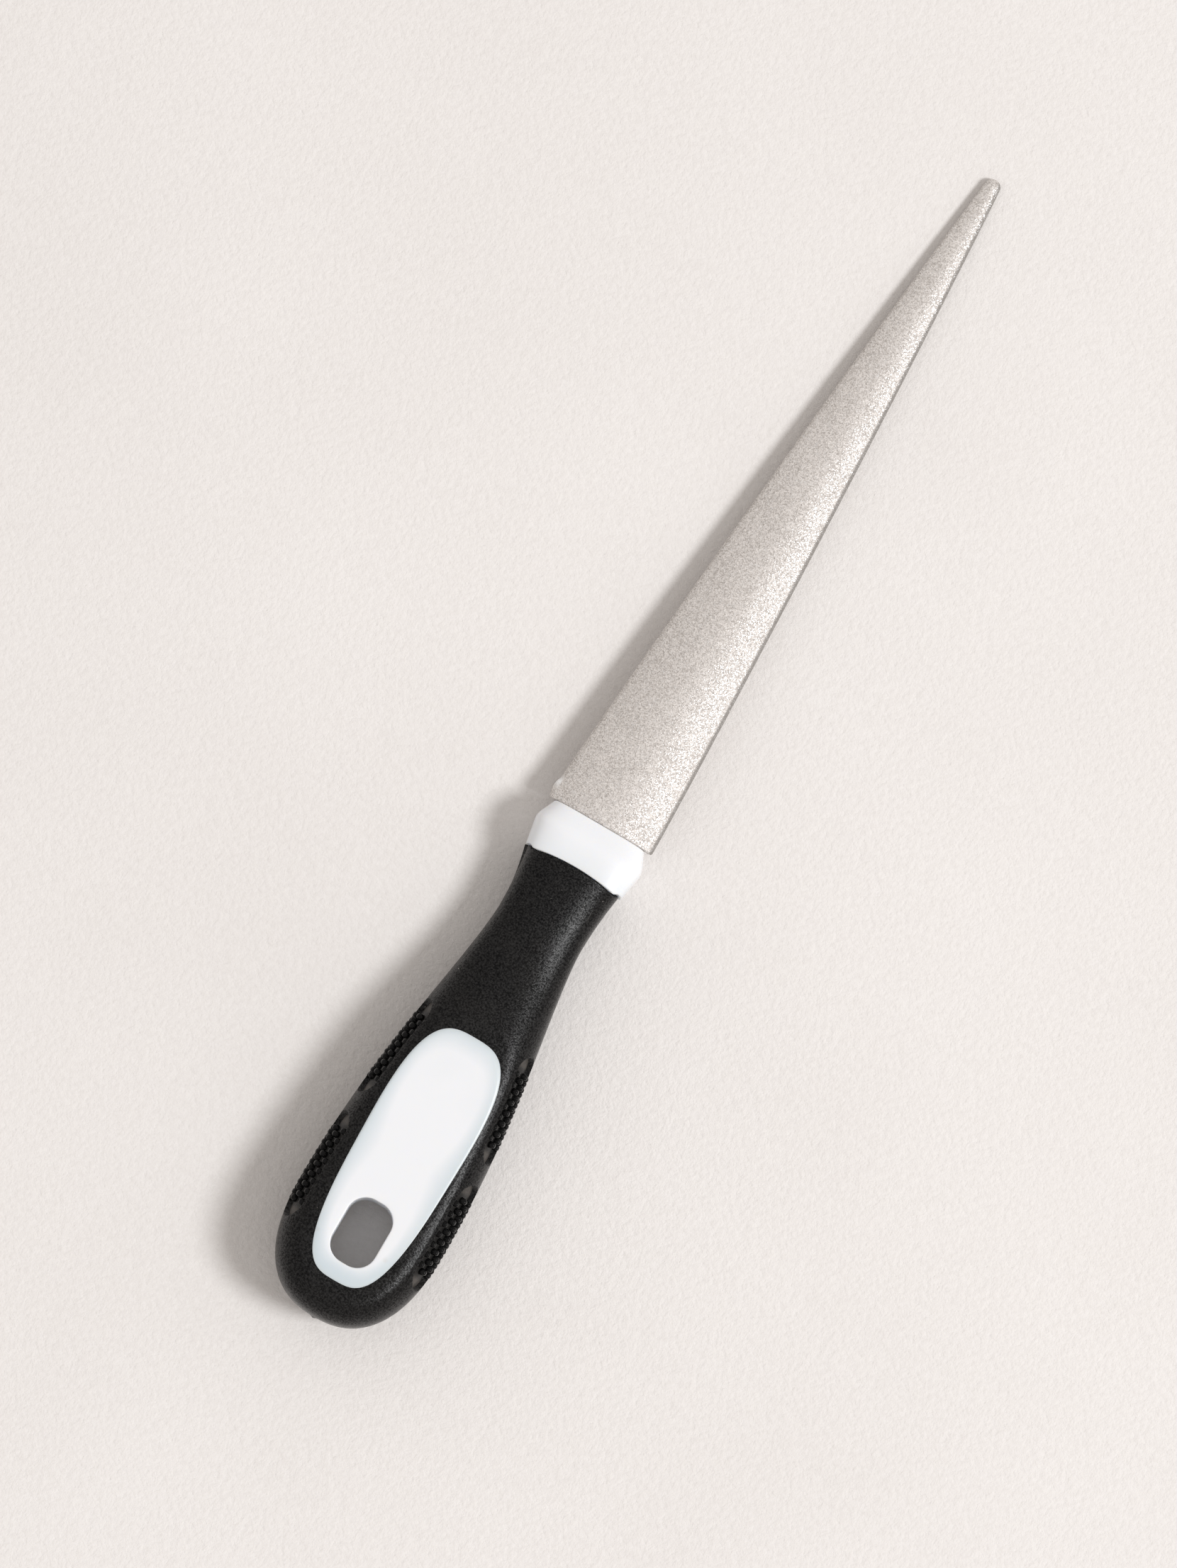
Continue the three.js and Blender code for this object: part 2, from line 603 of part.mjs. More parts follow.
/** One named piece of the tool. */
function piece(name, solid, finish) {
  const mesh = new THREE.Mesh(geometryOf(solid), new THREE.MeshStandardMaterial(finish));
  mesh.name = name;
  return mesh;
}

const pads = listPads();
const tool = new THREE.Group();
tool.position.z = HALF_THICKNESS;
tool.add(piece('sharpening_steel', makeSteel(), gritSteel));
tool.add(piece('handle_core', makeCore(), rigidWhite));
tool.add(piece('soft_grip', makeGrip(pads), softBlack));
for (const { name, pad, frame } of pads) {
  tool.add(piece(name, makePad(pad, frame), studBlack));
}

const model = new THREE.Group();
model.add(tool);

export default model;
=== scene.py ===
# %% [markdown]
# # A flat sharpening steel, surface by surface
#
# The tool has five kinds of pieces: a plate of steel coated with grit, a rigid white core that
# shows as a collar and as a flat land, a soft black grip moulded over that core, and the studded
# pads in the grip's flanks. The fixed frame holds the plain solids of all of them. Each one is
# replaced here by a fine surface that is worked out from the same few sizes, and then given a
# finish made of nodes. Lengths are worked out in millimetres and stored in metres.

import math

import bmesh
import bpy
import numpy as np
from mathutils import Matrix, Vector


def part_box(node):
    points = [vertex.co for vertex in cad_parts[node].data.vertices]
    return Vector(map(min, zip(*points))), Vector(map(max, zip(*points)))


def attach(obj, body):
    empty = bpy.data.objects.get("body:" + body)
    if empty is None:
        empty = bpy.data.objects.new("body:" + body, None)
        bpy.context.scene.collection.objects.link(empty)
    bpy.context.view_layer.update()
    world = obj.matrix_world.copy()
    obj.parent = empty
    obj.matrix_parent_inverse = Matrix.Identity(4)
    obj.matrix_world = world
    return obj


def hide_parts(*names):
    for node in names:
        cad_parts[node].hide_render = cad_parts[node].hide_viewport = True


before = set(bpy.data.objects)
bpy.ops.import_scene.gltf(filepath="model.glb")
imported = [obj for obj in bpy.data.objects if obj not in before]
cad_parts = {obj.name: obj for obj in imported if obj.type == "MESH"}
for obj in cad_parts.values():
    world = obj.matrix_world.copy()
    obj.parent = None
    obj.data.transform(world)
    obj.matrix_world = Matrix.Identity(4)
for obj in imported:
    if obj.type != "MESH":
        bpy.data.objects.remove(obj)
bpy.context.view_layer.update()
MM = 0.001
print("frame:", sorted(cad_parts))

# %% Places read from the frame


def node_box(name):
    """Lowest and highest corner of one of the frame's nodes, in millimetres."""
    low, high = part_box(name)
    return np.array(low) / MM, np.array(high) / MM


grip_low, grip_high = node_box("soft_grip")
core_low, core_high = node_box("handle_core")
steel_low, steel_high = node_box("sharpening_steel")

BUTT_Y = grip_low[1]
COLLAR_FACE_Y = core_high[1]
TIP_Y = steel_high[1]
TANG_END_Y = steel_low[1]
MIDDLE_Z = core_high[2] / 2
HALF_THICKNESS = core_high[2] / 2
HALF_BELLY = grip_high[0]
print(f"butt {BUTT_Y:.1f}, collar face {COLLAR_FACE_Y:.1f}, tip {TIP_Y:.1f} mm")

# %% [markdown]
# ## Tools for making surfaces
#
# Every piece is a grid of points worked out as whole numpy arrays, so a shape is only a formula of
# two numbers that run over the rows and the columns. The grids are put into a mesh, the doubled
# points of seams and poles are merged, and the faces are turned outwards. A smooth, closed shell
# that follows a formula is easier to keep exact than a box that is pushed into shape by hand.

# %% Grids and meshes
MERGE_MM = 1e-3


def grid_faces(rows, columns, ring=False):
    """Quads between neighbouring rows and columns; a ring also joins its last column to its first."""
    row = np.arange(rows - 1)[:, None]
    column = np.arange(columns if ring else columns - 1)[None, :]
    after = (column + 1) % columns
    corners = (
        row * columns + column,
        row * columns + after,
        (row + 1) * columns + after,
        (row + 1) * columns + column,
    )
    return np.stack(corners, axis=-1).reshape(-1, 4)


def join_parts(parts):
    """Several (points, faces) pairs as one pair, with a number that says which part a face is of."""
    points, faces, owner, start = [], [], [], 0
    for number, (part_points, part_faces) in enumerate(parts):
        points.append(part_points.reshape(-1, 3))
        faces.append(part_faces + start)
        owner.append(np.full(len(part_faces), number))
        start += len(points[-1])
    return np.concatenate(points), np.concatenate(faces), np.concatenate(owner)


def make_piece(name, parts, materials, part_material=None, fields=None):
    """A closed, smooth mesh object from grids of points in millimetres about the middle plane.
    part_material gives each part's material number, and fields are named numbers per point."""
    points, faces, owner = join_parts(parts)
    place = (points + np.array([0, 0, MIDDLE_Z])) * MM
    mesh = bpy.data.meshes.new(name)
    mesh.from_pydata(place.tolist(), [], faces.tolist())
    for material in materials:
        mesh.materials.append(material)
    if part_material is not None:
        chosen = np.asarray(part_material)[owner].astype(np.int32)
        mesh.polygons.foreach_set("material_index", chosen)
    for field, values in (fields or {}).items():
        layer = mesh.attributes.new(field, "FLOAT", "POINT")
        layer.data.foreach_set("value", values.reshape(-1).astype(np.float32))
    work = bmesh.new()
    work.from_mesh(mesh)
    bmesh.ops.remove_doubles(work, verts=work.verts, dist=MERGE_MM * MM)
    bmesh.ops.dissolve_degenerate(work, edges=work.edges, dist=MERGE_MM * MM / 10)
    bmesh.ops.recalc_face_normals(work, faces=work.faces)
    work.to_mesh(mesh)
    open_edges = sum(1 for edge in work.edges if len(edge.link_faces) != 2)
    work.free()
    mesh.shade_smooth()
    piece = bpy.data.objects.new(name, mesh)
    bpy.context.scene.collection.objects.link(piece)
    print(f"{name}: {len(mesh.polygons)} faces, {open_edges} open edges")
    return piece


# %% Small formulas that many shapes use


def smooth(value):
    """0 up to 0, 1 from 1 on, and a soft S between: 3 v squared less 2 v cubed."""
    value = np.clip(value, 0, 1)
    return value * value * (3 - 2 * value)


def signed_power(value, power):
    """The power of a number's size, with the number's own sign."""
    return np.sign(value) * np.abs(value) ** power


def oval_ring(half_width, half_height, power, turn):
    """A point of a squared oval at a turn from +X: the distance from the centre is
    (|cos/half width|^power + |sin/half height|^power) to the power -1/power."""
    across = np.abs(np.cos(turn) / half_width) ** power
    upward = np.abs(np.sin(turn) / half_height) ** power
    reach = (across + upward) ** (-1 / power)
    return reach * np.cos(turn), reach * np.sin(turn)


# %% [markdown]
# ## The handle's form
#
# A hand holds the tool between a slim neck and a fuller belly. Both widths and thicknesses swell
# from the neck along a squared sine, and the butt closes as a squared oval. These are the frame's
# own formulas, repeated here so that the fine surfaces lie on the plain solids.

# %% The handle's width and height
NECK_FROM_COLLAR = 26
NECK_HALF_WIDTH = 10.2
NECK_HALF_HEIGHT = 7.2
NECK_TO_FULL = 38
BELLY_FROM_BUTT = 25
CROWN = 2
FRONT_FLARE = 1.25
SECTION_POWER = 2.7
FLANK_POWER = 0.72
BUTT_POWER = 2.4
BUTT_SIDE_POWER = 3.5
COLLAR_LENGTH = 10.9

NECK_Y = COLLAR_FACE_Y - NECK_FROM_COLLAR
SEAM_Y = COLLAR_FACE_Y - COLLAR_LENGTH
BELLY_Y = BUTT_Y + BELLY_FROM_BUTT


def swelling(y, length, power):
    """0 at the neck and 1 a length behind it: the squared sine of a quarter turn's share."""
    share = np.clip((NECK_Y - y) / length, 0, 1)
    return np.sin(np.pi / 2 * share**power) ** 2


def flare(y):
    """Growth from the neck to the grip's front edge, with the square of the distance."""
    return FRONT_FLARE * np.clip((y - NECK_Y) / (SEAM_Y - NECK_Y), 0, None) ** 2


def butt_share(y, power):
    """What the rounding of the butt leaves of the section."""
    share = np.clip((BELLY_Y - y) / BELLY_FROM_BUTT, 0, 1)
    return (1 - share**power) ** (1 / power)


def grip_half_width(y):
    """Half the grip's width at a place along the handle."""
    swell = (HALF_BELLY - NECK_HALF_WIDTH) * swelling(y, NECK_Y - BELLY_Y, FLANK_POWER)
    return (NECK_HALF_WIDTH + swell + flare(y)) * butt_share(y, BUTT_POWER)


def grip_half_height(y):
    """Half the height of the grip's round section, before it is cut flat."""
    swell = (HALF_THICKNESS + CROWN - NECK_HALF_HEIGHT) * swelling(y, NECK_TO_FULL, 1)
    return (NECK_HALF_HEIGHT + swell + flare(y)) * butt_share(y, BUTT_SIDE_POWER)


stations = np.array([BUTT_Y + 5, BELLY_Y, 20, NECK_Y, SEAM_Y])
print("half widths", np.round(grip_half_width(stations), 2))

# %% The land's outline and the seam
LAND_HALF_LENGTH = 30.4
LAND_HALF_WIDTH = 11.25
LAND_POWER = 3.2
LAND_EGG = 0.06
SEAM_RADIUS = 56
SEAM_HORN = 0.75
HORN_START = 9.9
HORN_LENGTH = 1.2


def land_outline(turn, inset=0):
    """The land's border: a squared oval whose front is a little fuller than its rear."""
    along = signed_power(np.sin(turn), 2 / LAND_POWER)
    across = signed_power(np.cos(turn), 2 / LAND_POWER) * (1 + LAND_EGG * along)
    return (LAND_HALF_WIDTH - inset) * across, (LAND_HALF_LENGTH - inset) * along


def window_half_width(y, inset):
    """Half the width of the land's outline at a place along it, and 0 outside it."""
    along = np.clip(np.abs(y) / (LAND_HALF_LENGTH - inset), 0, 1)
    across = (1 - along**LAND_POWER) ** (1 / LAND_POWER)
    return (LAND_HALF_WIDTH - inset) * across * (1 + LAND_EGG * np.sign(y) * along)


def seam_y(x):
    """The seam between grip and collar: an arc seen from above, with a small horn at each side."""
    reach = np.clip(np.abs(x), 0, SEAM_RADIUS)
    arc = SEAM_Y - SEAM_RADIUS + np.sqrt(SEAM_RADIUS**2 - reach**2)
    return arc + SEAM_HORN * smooth((np.abs(x) - HORN_START) / HORN_LENGTH)


print("seam at the middle and at the side", seam_y(np.array([0.0, 11.4])).round(2))

# %% [markdown]
# ## Where the pads lie
#
# Eight pads sit in rounded pockets, four to a flank, an upper and a lower one at the front and at
# the rear. The pocket in the grip, the pad's floor and its studs all use one set of axes: along
# the pad, across it and out of the flank. Any point of a pad is then found by asking how far the
# grip's surface stands out over that place, which a bisection answers for a whole array at once.

# %% Pad axes
PAD_RECESS = 1.2
PAD_BASE = 0.8
GAP = 0.3
PAD_TILT = math.radians(22)
PAD_PARTING = 1.0
PADS = {
    "front": {"length": 25.4, "height": 8.2, "along": 20.4},
    "rear": {"length": 26.3, "height": 8.8, "along": -10.2},
}
SEARCH_REACH = 8
SEARCH_STEPS = 34


def flank_at(y, z):
    """Distance from the axis to the flank, at a height above the middle plane."""
    share = 1 - (abs(z) / grip_half_height(y)) ** SECTION_POWER
    return grip_half_width(y) * share ** (1 / SECTION_POWER)


def pad_axes(pad, side, level):
    """The pad's centre on the grip's surface and its three axes, as the rows of a matrix."""
    depth = PAD_RECESS + PAD_BASE + 2 * GAP
    up = pad["height"] / 2 * math.cos(PAD_TILT) + depth * math.sin(PAD_TILT) + PAD_PARTING / 2
    quarter = pad["length"] / 4
    centre_y = pad["along"]
    slope = (flank_at(centre_y + quarter, up) - flank_at(centre_y - quarter, up)) / (2 * quarter)
    along = np.array([side * slope, 1.0, 0.0])
    along /= np.linalg.norm(along)
    out = np.array([side * math.cos(PAD_TILT), 0.0, level * math.sin(PAD_TILT)])
    out -= out.dot(along) * along
    out /= np.linalg.norm(out)
    centre = np.array([side * flank_at(centre_y, up), centre_y, level * up])
    return centre, np.array([along, np.cross(out, along), out])


def surface_rise(centre, axes, x, y):
    """How far the grip's surface stands out over places on a pad, by halving a search range."""
    low = np.full(np.shape(x), -float(SEARCH_REACH))
    high = np.full(np.shape(x), float(SEARCH_REACH))
    for _ in range(SEARCH_STEPS):
        middle = (low + high) / 2
        point = centre + x[..., None] * axes[0] + y[..., None] * axes[1]
        point = point + middle[..., None] * axes[2]
        across = np.abs(point[..., 0]) / grip_half_width(point[..., 1])
        upward = np.abs(point[..., 2]) / grip_half_height(point[..., 1])
        inside = across**SECTION_POWER + upward**SECTION_POWER < 1
        low = np.where(inside, middle, low)
        high = np.where(inside, high, middle)
    return low


def stadium_distance(pad, x, y):
    """Distance from the pad's rounded outline, less than 0 inside it."""
    straight = pad["length"] / 2 - pad["height"] / 2
    return np.hypot(np.clip(np.abs(x) - straight, 0, None), y) - pad["height"] / 2


pad_list = []
for level_name, level in (("upper", 1), ("lower", -1)):
    for side_name, side in (("left", -1), ("right", 1)):
        for place, pad in PADS.items():
            centre, axes = pad_axes(pad, side, level)
            node = f"stud_pad_{level_name}_{side_name}_{place}"
            pad_list.append({"node": node, "pad": pad, "centre": centre, "axes": axes})
print(len(pad_list), "pads, the first at", pad_list[0]["centre"].round(2))

# %% [markdown]
# ## Finishes
#
# A finish is a small tree of nodes. Noise and cell patterns are read from Object coordinates, so
# they have a real size and stay where they are when the tool turns. Roughness and bump come from
# the same patterns as the colour, because on a real surface one grain makes all three.

# %% Helpers for node trees


def add_node(tree, kind, sockets=None, **settings):
    """Adds a node, sets its options, and gives each named socket a value or a link."""
    node = tree.nodes.new(kind)
    for name, value in settings.items():
        setattr(node, name, value)
    for name, value in (sockets or {}).items():
        if isinstance(value, bpy.types.NodeSocket):
            tree.links.new(value, node.inputs[name])
        else:
            node.inputs[name].default_value = value
    return node


def new_finish(name, **constants):
    """A material with one Principled shader, whose fixed values are set on its own sockets."""
    material = bpy.data.materials.new(name)
    material.use_nodes = True
    tree = material.node_tree
    tree.nodes.clear()
    shader = add_node(tree, "ShaderNodeBsdfPrincipled", constants)
    add_node(tree, "ShaderNodeOutputMaterial", {"Surface": shader.outputs["BSDF"]})
    return material, tree, shader


def object_noise(tree, grain_mm, detail=2.0, roughness=0.5):
    """Noise whose grains are about that many millimetres across."""
    place = add_node(tree, "ShaderNodeTexCoord").outputs["Object"]
    values = {"Vector": place, "Scale": 1 / (grain_mm * MM), "Detail": detail, "Roughness": roughness}
    return add_node(tree, "ShaderNodeTexNoise", values).outputs["Fac"]


def object_cells(tree, cell_mm):
    """Cells of about that many millimetres: their distance field and their random colour."""
    place = add_node(tree, "ShaderNodeTexCoord").outputs["Object"]
    node = add_node(tree, "ShaderNodeTexVoronoi", {"Vector": place, "Scale": 1 / (cell_mm * MM)})
    return node.outputs["Distance"], node.outputs["Color"]


def one_channel(tree, colour, channel):
    """The red, green or blue share of a colour, as a number."""
    return add_node(tree, "ShaderNodeSeparateColor", {"Color": colour}).outputs[channel]


SCRATCH_TURN = (0.0, 0.0, 0.35)
SCRATCH_STRETCH = (3.2, 0.14, 0.14)
SCRATCH_FROM, SCRATCH_FULL = 0.70, 0.74


def object_scratches(tree):
    """Sparse straight lines: noise that is stretched along one direction and cut off high."""
    place = add_node(tree, "ShaderNodeTexCoord").outputs["Object"]
    sockets = {"Vector": place, "Rotation": SCRATCH_TURN, "Scale": SCRATCH_STRETCH}
    stretched = add_node(tree, "ShaderNodeMapping", sockets).outputs["Vector"]
    values = {"Vector": stretched, "Scale": 1 / MM, "Detail": 1.0}
    lines = add_node(tree, "ShaderNodeTexNoise", values).outputs["Fac"]
    return remap(tree, lines, SCRATCH_FROM, SCRATCH_FULL, 0, 1)


def remap(tree, value, low, high, to_low, to_high):
    """A value moved from one range into another, and held inside it."""
    sockets = {"Value": value, "From Min": low, "From Max": high, "To Min": to_low, "To Max": to_high}
    return add_node(tree, "ShaderNodeMapRange", sockets).outputs["Result"]


def blend_colour(tree, share, first, second):
    """The first colour where share is 0, and the second where it is 1."""
    node = add_node(tree, "ShaderNodeMix", data_type="RGBA")
    for socket, value in ((0, share), (6, first), (7, second)):
        if isinstance(value, bpy.types.NodeSocket):
            tree.links.new(value, node.inputs[socket])
        else:
            node.inputs[socket].default_value = value
    return node.outputs[2]


def math_node(tree, operation, first, second):
    """One sum, product or other operation on two values."""
    return add_node(tree, "ShaderNodeMath", {0: first, 1: second}, operation=operation).outputs[0]


def added(tree, *values):
    """The sum of several values."""
    total = values[0]
    for value in values[1:]:
        total = math_node(tree, "ADD", total, value)
    return total


def times(tree, *values):
    """The product of several values."""
    total = values[0]
    for value in values[1:]:
        total = math_node(tree, "MULTIPLY", total, value)
    return total


def add_bump(tree, shader, layers):
    """Bumps laid over each other: each layer is a height, its strength and its depth in mm."""
    normal = None
    for height, strength, depth_mm in layers:
        sockets = {"Height": height, "Strength": strength, "Distance": depth_mm * MM}
        if normal is not None:
            sockets["Normal"] = normal
        normal = add_node(tree, "ShaderNodeBump", sockets).outputs["Normal"]
    tree.links.new(normal, shader.inputs["Normal"])


def field_value(tree, name):
    """A number that is stored on the mesh's points."""
    return add_node(tree, "ShaderNodeAttribute", attribute_name=name).outputs["Fac"]


# %% [markdown]
# ### The grit
#
# The plate is plated with nickel that holds fine abrasive grains. Each grain is a facet of its own
# brightness, so cells of a quarter of a millimetre get a random tone and roughness, and cells half
# that size sparkle here and there. A broad, faint cloud stops the plate from looking printed. Along
# the right edge a narrow dark line is painted shade, for the shade where the plate turns under.

# %% Grit-coated steel
GRIT_DARK = (0.34, 0.31, 0.285, 1)
GRIT_LIGHT = (0.85, 0.806, 0.772, 1)
# EDGE_PAINTED_SHADE is the painted shade along the right edge, where the plate turns under
EDGE_PAINTED_SHADE = (0.20, 0.185, 0.17, 1)
BARE_METAL = (0.90, 0.91, 0.92, 1)
GRIT_CELL, SPARKLE_CELL, GRIT_FINE, GRIT_CLOUD = 0.26, 0.13, 0.11, 9.0
SPARKLE_FROM, SPARKLE_FULL = 0.90, 0.95
SPARKLE_COLOUR, SPARKLE_METAL, SPARKLE_GLOSS = 0.7, 0.6, 0.3
GRIT_METAL = 0.12
GRIT_ROUGH, GRIT_SMOOTH, BARE_GLOSS = 0.64, 0.5, 0.12


def grit_finish():
    """Nickel-bonded abrasive: sparkling cells, satin ground, painted edge shade, and bare metal where
    masked.
    """
    material, tree, shader = new_finish("grit_steel", **{"IOR": 1.6})
    distance, colour = object_cells(tree, GRIT_CELL)
    tone = one_channel(tree, colour, "Red")
    cloud = object_noise(tree, GRIT_CLOUD, detail=3.0)
    fine = object_noise(tree, GRIT_FINE, detail=2.0)
    small_distance, small_colour = object_cells(tree, SPARKLE_CELL)
    small = one_channel(tree, small_colour, "Green")
    sparkle = remap(tree, small, SPARKLE_FROM, SPARKLE_FULL, 0, 1)
    grains = remap(tree, tone, 0, 1, 0.04, 0.62)
    clouds = remap(tree, cloud, 0.3, 0.7, 0, 0.09)
    small_grains = remap(tree, small, 0, 1, -0.16, 0.3)
    ground = blend_colour(tree, added(tree, grains, clouds, small_grains), GRIT_DARK, GRIT_LIGHT)
    # painted shade: the right edge is darkened where the plate turns under
    ground = blend_colour(tree, field_value(tree, "painted_edge_shade"), ground, EDGE_PAINTED_SHADE)
    ground = blend_colour(tree, times(tree, sparkle, SPARKLE_COLOUR), ground, BARE_METAL)
    bare = field_value(tree, "bare")
    tree.links.new(blend_colour(tree, bare, ground, BARE_METAL), shader.inputs["Base Color"])
    metal = added(tree, GRIT_METAL, times(tree, sparkle, SPARKLE_METAL))
    tree.links.new(metal, shader.inputs["Metallic"])
    rough = remap(tree, tone, 0, 1, GRIT_ROUGH, GRIT_SMOOTH)
    rough = math_node(tree, "SUBTRACT", rough, times(tree, bare, BARE_GLOSS))
    rough = math_node(tree, "SUBTRACT", rough, times(tree, sparkle, SPARKLE_GLOSS))
    tree.links.new(rough, shader.inputs["Roughness"])
    add_bump(tree, shader, [(distance, 0.5, 0.04), (small_distance, 0.4, 0.03), (fine, 0.4, 0.03)])
    return material


grit_steel = grit_finish()
print("finish:", grit_steel.name)

# %% [markdown]
# ### The white core
#
# The core is a hard, slightly clear white plastic. Light wanders a little way into it, so a small
# subsurface share softens it. Near the black grip and beside the hang hole it gets a painted shade,
# cooler and darker. Use leaves faint brown specks near the hang hole and hair-fine scuffs that
# only the gloss shows.

# %% Rigid white plastic
WHITE = (0.82, 0.835, 0.86, 1)
# WHITE_SHADE_AND_TONE: painted shade near the black grip and the hang hole, and a faint random tone
WHITE_SHADE_AND_TONE = (0.60, 0.67, 0.71, 1)
STAIN = (0.50, 0.42, 0.33, 1)
CORE_SCATTER = (1.0, 1.1, 1.3)
CORE_SCATTER_REACH = 1.6 * MM
CORE_CLOUD, CORE_SPECK, CORE_BLOTCH, CORE_SCUFF = 14.0, 4.6, 5.0, 0.7


def core_finish():
    """White plastic with painted shade at its borders, faint stains and fine scuffs."""
    fixed = {
        "Subsurface Weight": 0.5,
        "Subsurface Radius": CORE_SCATTER,
        "Subsurface Scale": CORE_SCATTER_REACH,
        "IOR": 1.49,
    }
    material, tree, shader = new_finish("rigid_core", **fixed)
    # painted shade: cooler and darker towards the land's border, the hang hole and the seam
    ground = blend_colour(tree, field_value(tree, "border"), WHITE, WHITE_SHADE_AND_TONE)
    cloud = object_noise(tree, CORE_CLOUD, detail=2.0)
    # a faint random cool tone in broad clouds
    ground = blend_colour(tree, remap(tree, cloud, 0.45, 0.8, 0, 0.12), ground, WHITE_SHADE_AND_TONE)
    speck_distance, _ = object_cells(tree, CORE_SPECK)
    speck = remap(tree, speck_distance, 0.06, 0.2, 1, 0)
    blotch = remap(tree, object_noise(tree, CORE_BLOTCH, detail=4.0), 0.48, 0.62, 0, 0.5)
    stain = times(tree, speck, blotch, field_value(tree, "stain"))
    tree.links.new(blend_colour(tree, stain, ground, STAIN), shader.inputs["Base Color"])
    scuff = object_noise(tree, CORE_SCUFF, detail=4.0, roughness=0.7)
    tree.links.new(remap(tree, scuff, 0.3, 0.7, 0.27, 0.4), shader.inputs["Roughness"])
    add_bump(tree, shader, [(scuff, 0.12, 0.02), (cloud, 0.15, 0.1)])
    return material


rigid_core = core_finish()
print("finish:", rigid_core.name)

# %% [markdown]
# ### The soft black grip
#
# Soft moulded rubber copies the fine spark-eroded grain of its mould, so the grain also sets how
# much each spot shines, and a highlight breaks up into a grey, grainy sheen. Pale dust sits in the
# grain as a few small dots, and a hand wears some stretches a little smoother than the rest.

# %% Soft grip
GRIP_BLACK = (0.0035, 0.0035, 0.0037, 1)
GRIP_WORN = (0.010, 0.0095, 0.009, 1)
DUST = (0.42, 0.40, 0.37, 1)
GRIP_GRAIN, GRIP_COARSE, GRIP_WEAR, DUST_CELL = 0.42, 0.55, 11.0, 2.6
GRIP_SHINE_LEAST, GRIP_SHINE_MOST = 0.06, 0.42
SCRATCH_PALE = 0.12


def grip_finish():
    """Grained black rubber with worn stretches and a few specks of dust."""
    material, tree, shader = new_finish("soft_grip", **{"IOR": 1.5})
    grain = object_noise(tree, GRIP_GRAIN, detail=3.0, roughness=0.7)
    shine = remap(tree, grain, 0.4, 0.62, GRIP_SHINE_LEAST, GRIP_SHINE_MOST)
    tree.links.new(shine, shader.inputs["Specular IOR Level"])
    wear = object_noise(tree, GRIP_WEAR, detail=3.0)
    ground = blend_colour(tree, remap(tree, wear, 0.4, 0.75, 0, 0.7), GRIP_BLACK, GRIP_WORN)
    ground = blend_colour(tree, remap(tree, grain, 0.5, 0.8, 0, 0.5), ground, GRIP_WORN)
    dot_distance, dot_colour = object_cells(tree, DUST_CELL)
    small_dot = remap(tree, dot_distance, 0.035, 0.06, 1, 0)
    few = remap(tree, one_channel(tree, dot_colour, "Green"), 0.86, 0.9, 0, 0.8)
    dot = times(tree, small_dot, few)
    ground = blend_colour(tree, dot, ground, DUST)
    scratch = times(tree, object_scratches(tree), field_value(tree, "rubbed"))
    ground = blend_colour(tree, times(tree, scratch, SCRATCH_PALE), ground, DUST)
    tree.links.new(ground, shader.inputs["Base Color"])
    grain_rough = remap(tree, grain, 0.3, 0.7, 0.26, 0.36)
    wear_rough = remap(tree, wear, 0.3, 0.7, 0.03, -0.05)
    tree.links.new(added(tree, grain_rough, wear_rough), shader.inputs["Roughness"])
    coarse = object_noise(tree, GRIP_COARSE, detail=2.0)
    layers = [(grain, 0.9, 0.075), (coarse, 0.2, 0.04), (dot, 0.3, 0.05), (scratch, 0.2, 0.04)]
    add_bump(tree, shader, layers)
    return material


soft_grip = grip_finish()
print("finish:", soft_grip.name)

# %% [markdown]
# ### Pads and studs
#
# The pad's floor is left dull by its mould, and its open ends carry a painted reflection of the floor.
# The studs come from polished cavities, and are deep black with a small bright glint on each.

# %% Dull floor and glossy studs
FLOOR_DULL = (0.006, 0.0055, 0.005, 1)
# PAD_FLOOR_REFLECTION is a painted reflection of the pale floor, grey-brown
PAD_FLOOR_REFLECTION = (0.075, 0.066, 0.058, 1)
STUD_BLACK = (0.002, 0.002, 0.0022, 1)
STUD_RUBBED = (0.006, 0.006, 0.006, 1)
PAD_GRAIN, PAD_MOTTLE = 0.25, 2.2
STUD_RUB, STUD_FINE = 1.6, 0.3


def pad_floor_finish():
    """Dull rubber, with a mottled painted reflection of the floor at its open ends."""
    material, tree, shader = new_finish("pad_floor", **{"IOR": 1.5, "Specular IOR Level": 0.3})
    grain = object_noise(tree, PAD_GRAIN, detail=3.0)
    dust = object_noise(tree, PAD_MOTTLE, detail=4.0)
    patches = remap(tree, dust, 0.3, 0.6, 0.4, 1)
    grains = remap(tree, grain, 0.2, 0.7, 0.6, 1)
    # painted reflection: the open ends are blended towards grey-brown, mottled by two noises
    share = times(tree, patches, grains, field_value(tree, "open_end"))
    tree.links.new(blend_colour(tree, share, FLOOR_DULL, PAD_FLOOR_REFLECTION), shader.inputs["Base Color"])
    tree.links.new(remap(tree, grain, 0.3, 0.7, 0.42, 0.6), shader.inputs["Roughness"])
    add_bump(tree, shader, [(grain, 0.35, 0.03), (dust, 0.2, 0.08)])
    return material


def stud_finish():
    """Polished black rubber, rubbed a little duller in places."""
    material, tree, shader = new_finish("stud_gloss", **{"IOR": 1.52, "Specular IOR Level": 0.16})
    rub = object_noise(tree, STUD_RUB, detail=3.0)
    ground = blend_colour(tree, remap(tree, rub, 0.4, 0.75, 0, 1), STUD_BLACK, STUD_RUBBED)
    tree.links.new(ground, shader.inputs["Base Color"])
    tree.links.new(remap(tree, rub, 0.35, 0.75, 0.14, 0.34), shader.inputs["Roughness"])
    fine = object_noise(tree, STUD_FINE, detail=2.0)
    add_bump(tree, shader, [(fine, 0.12, 0.03)])
    return material


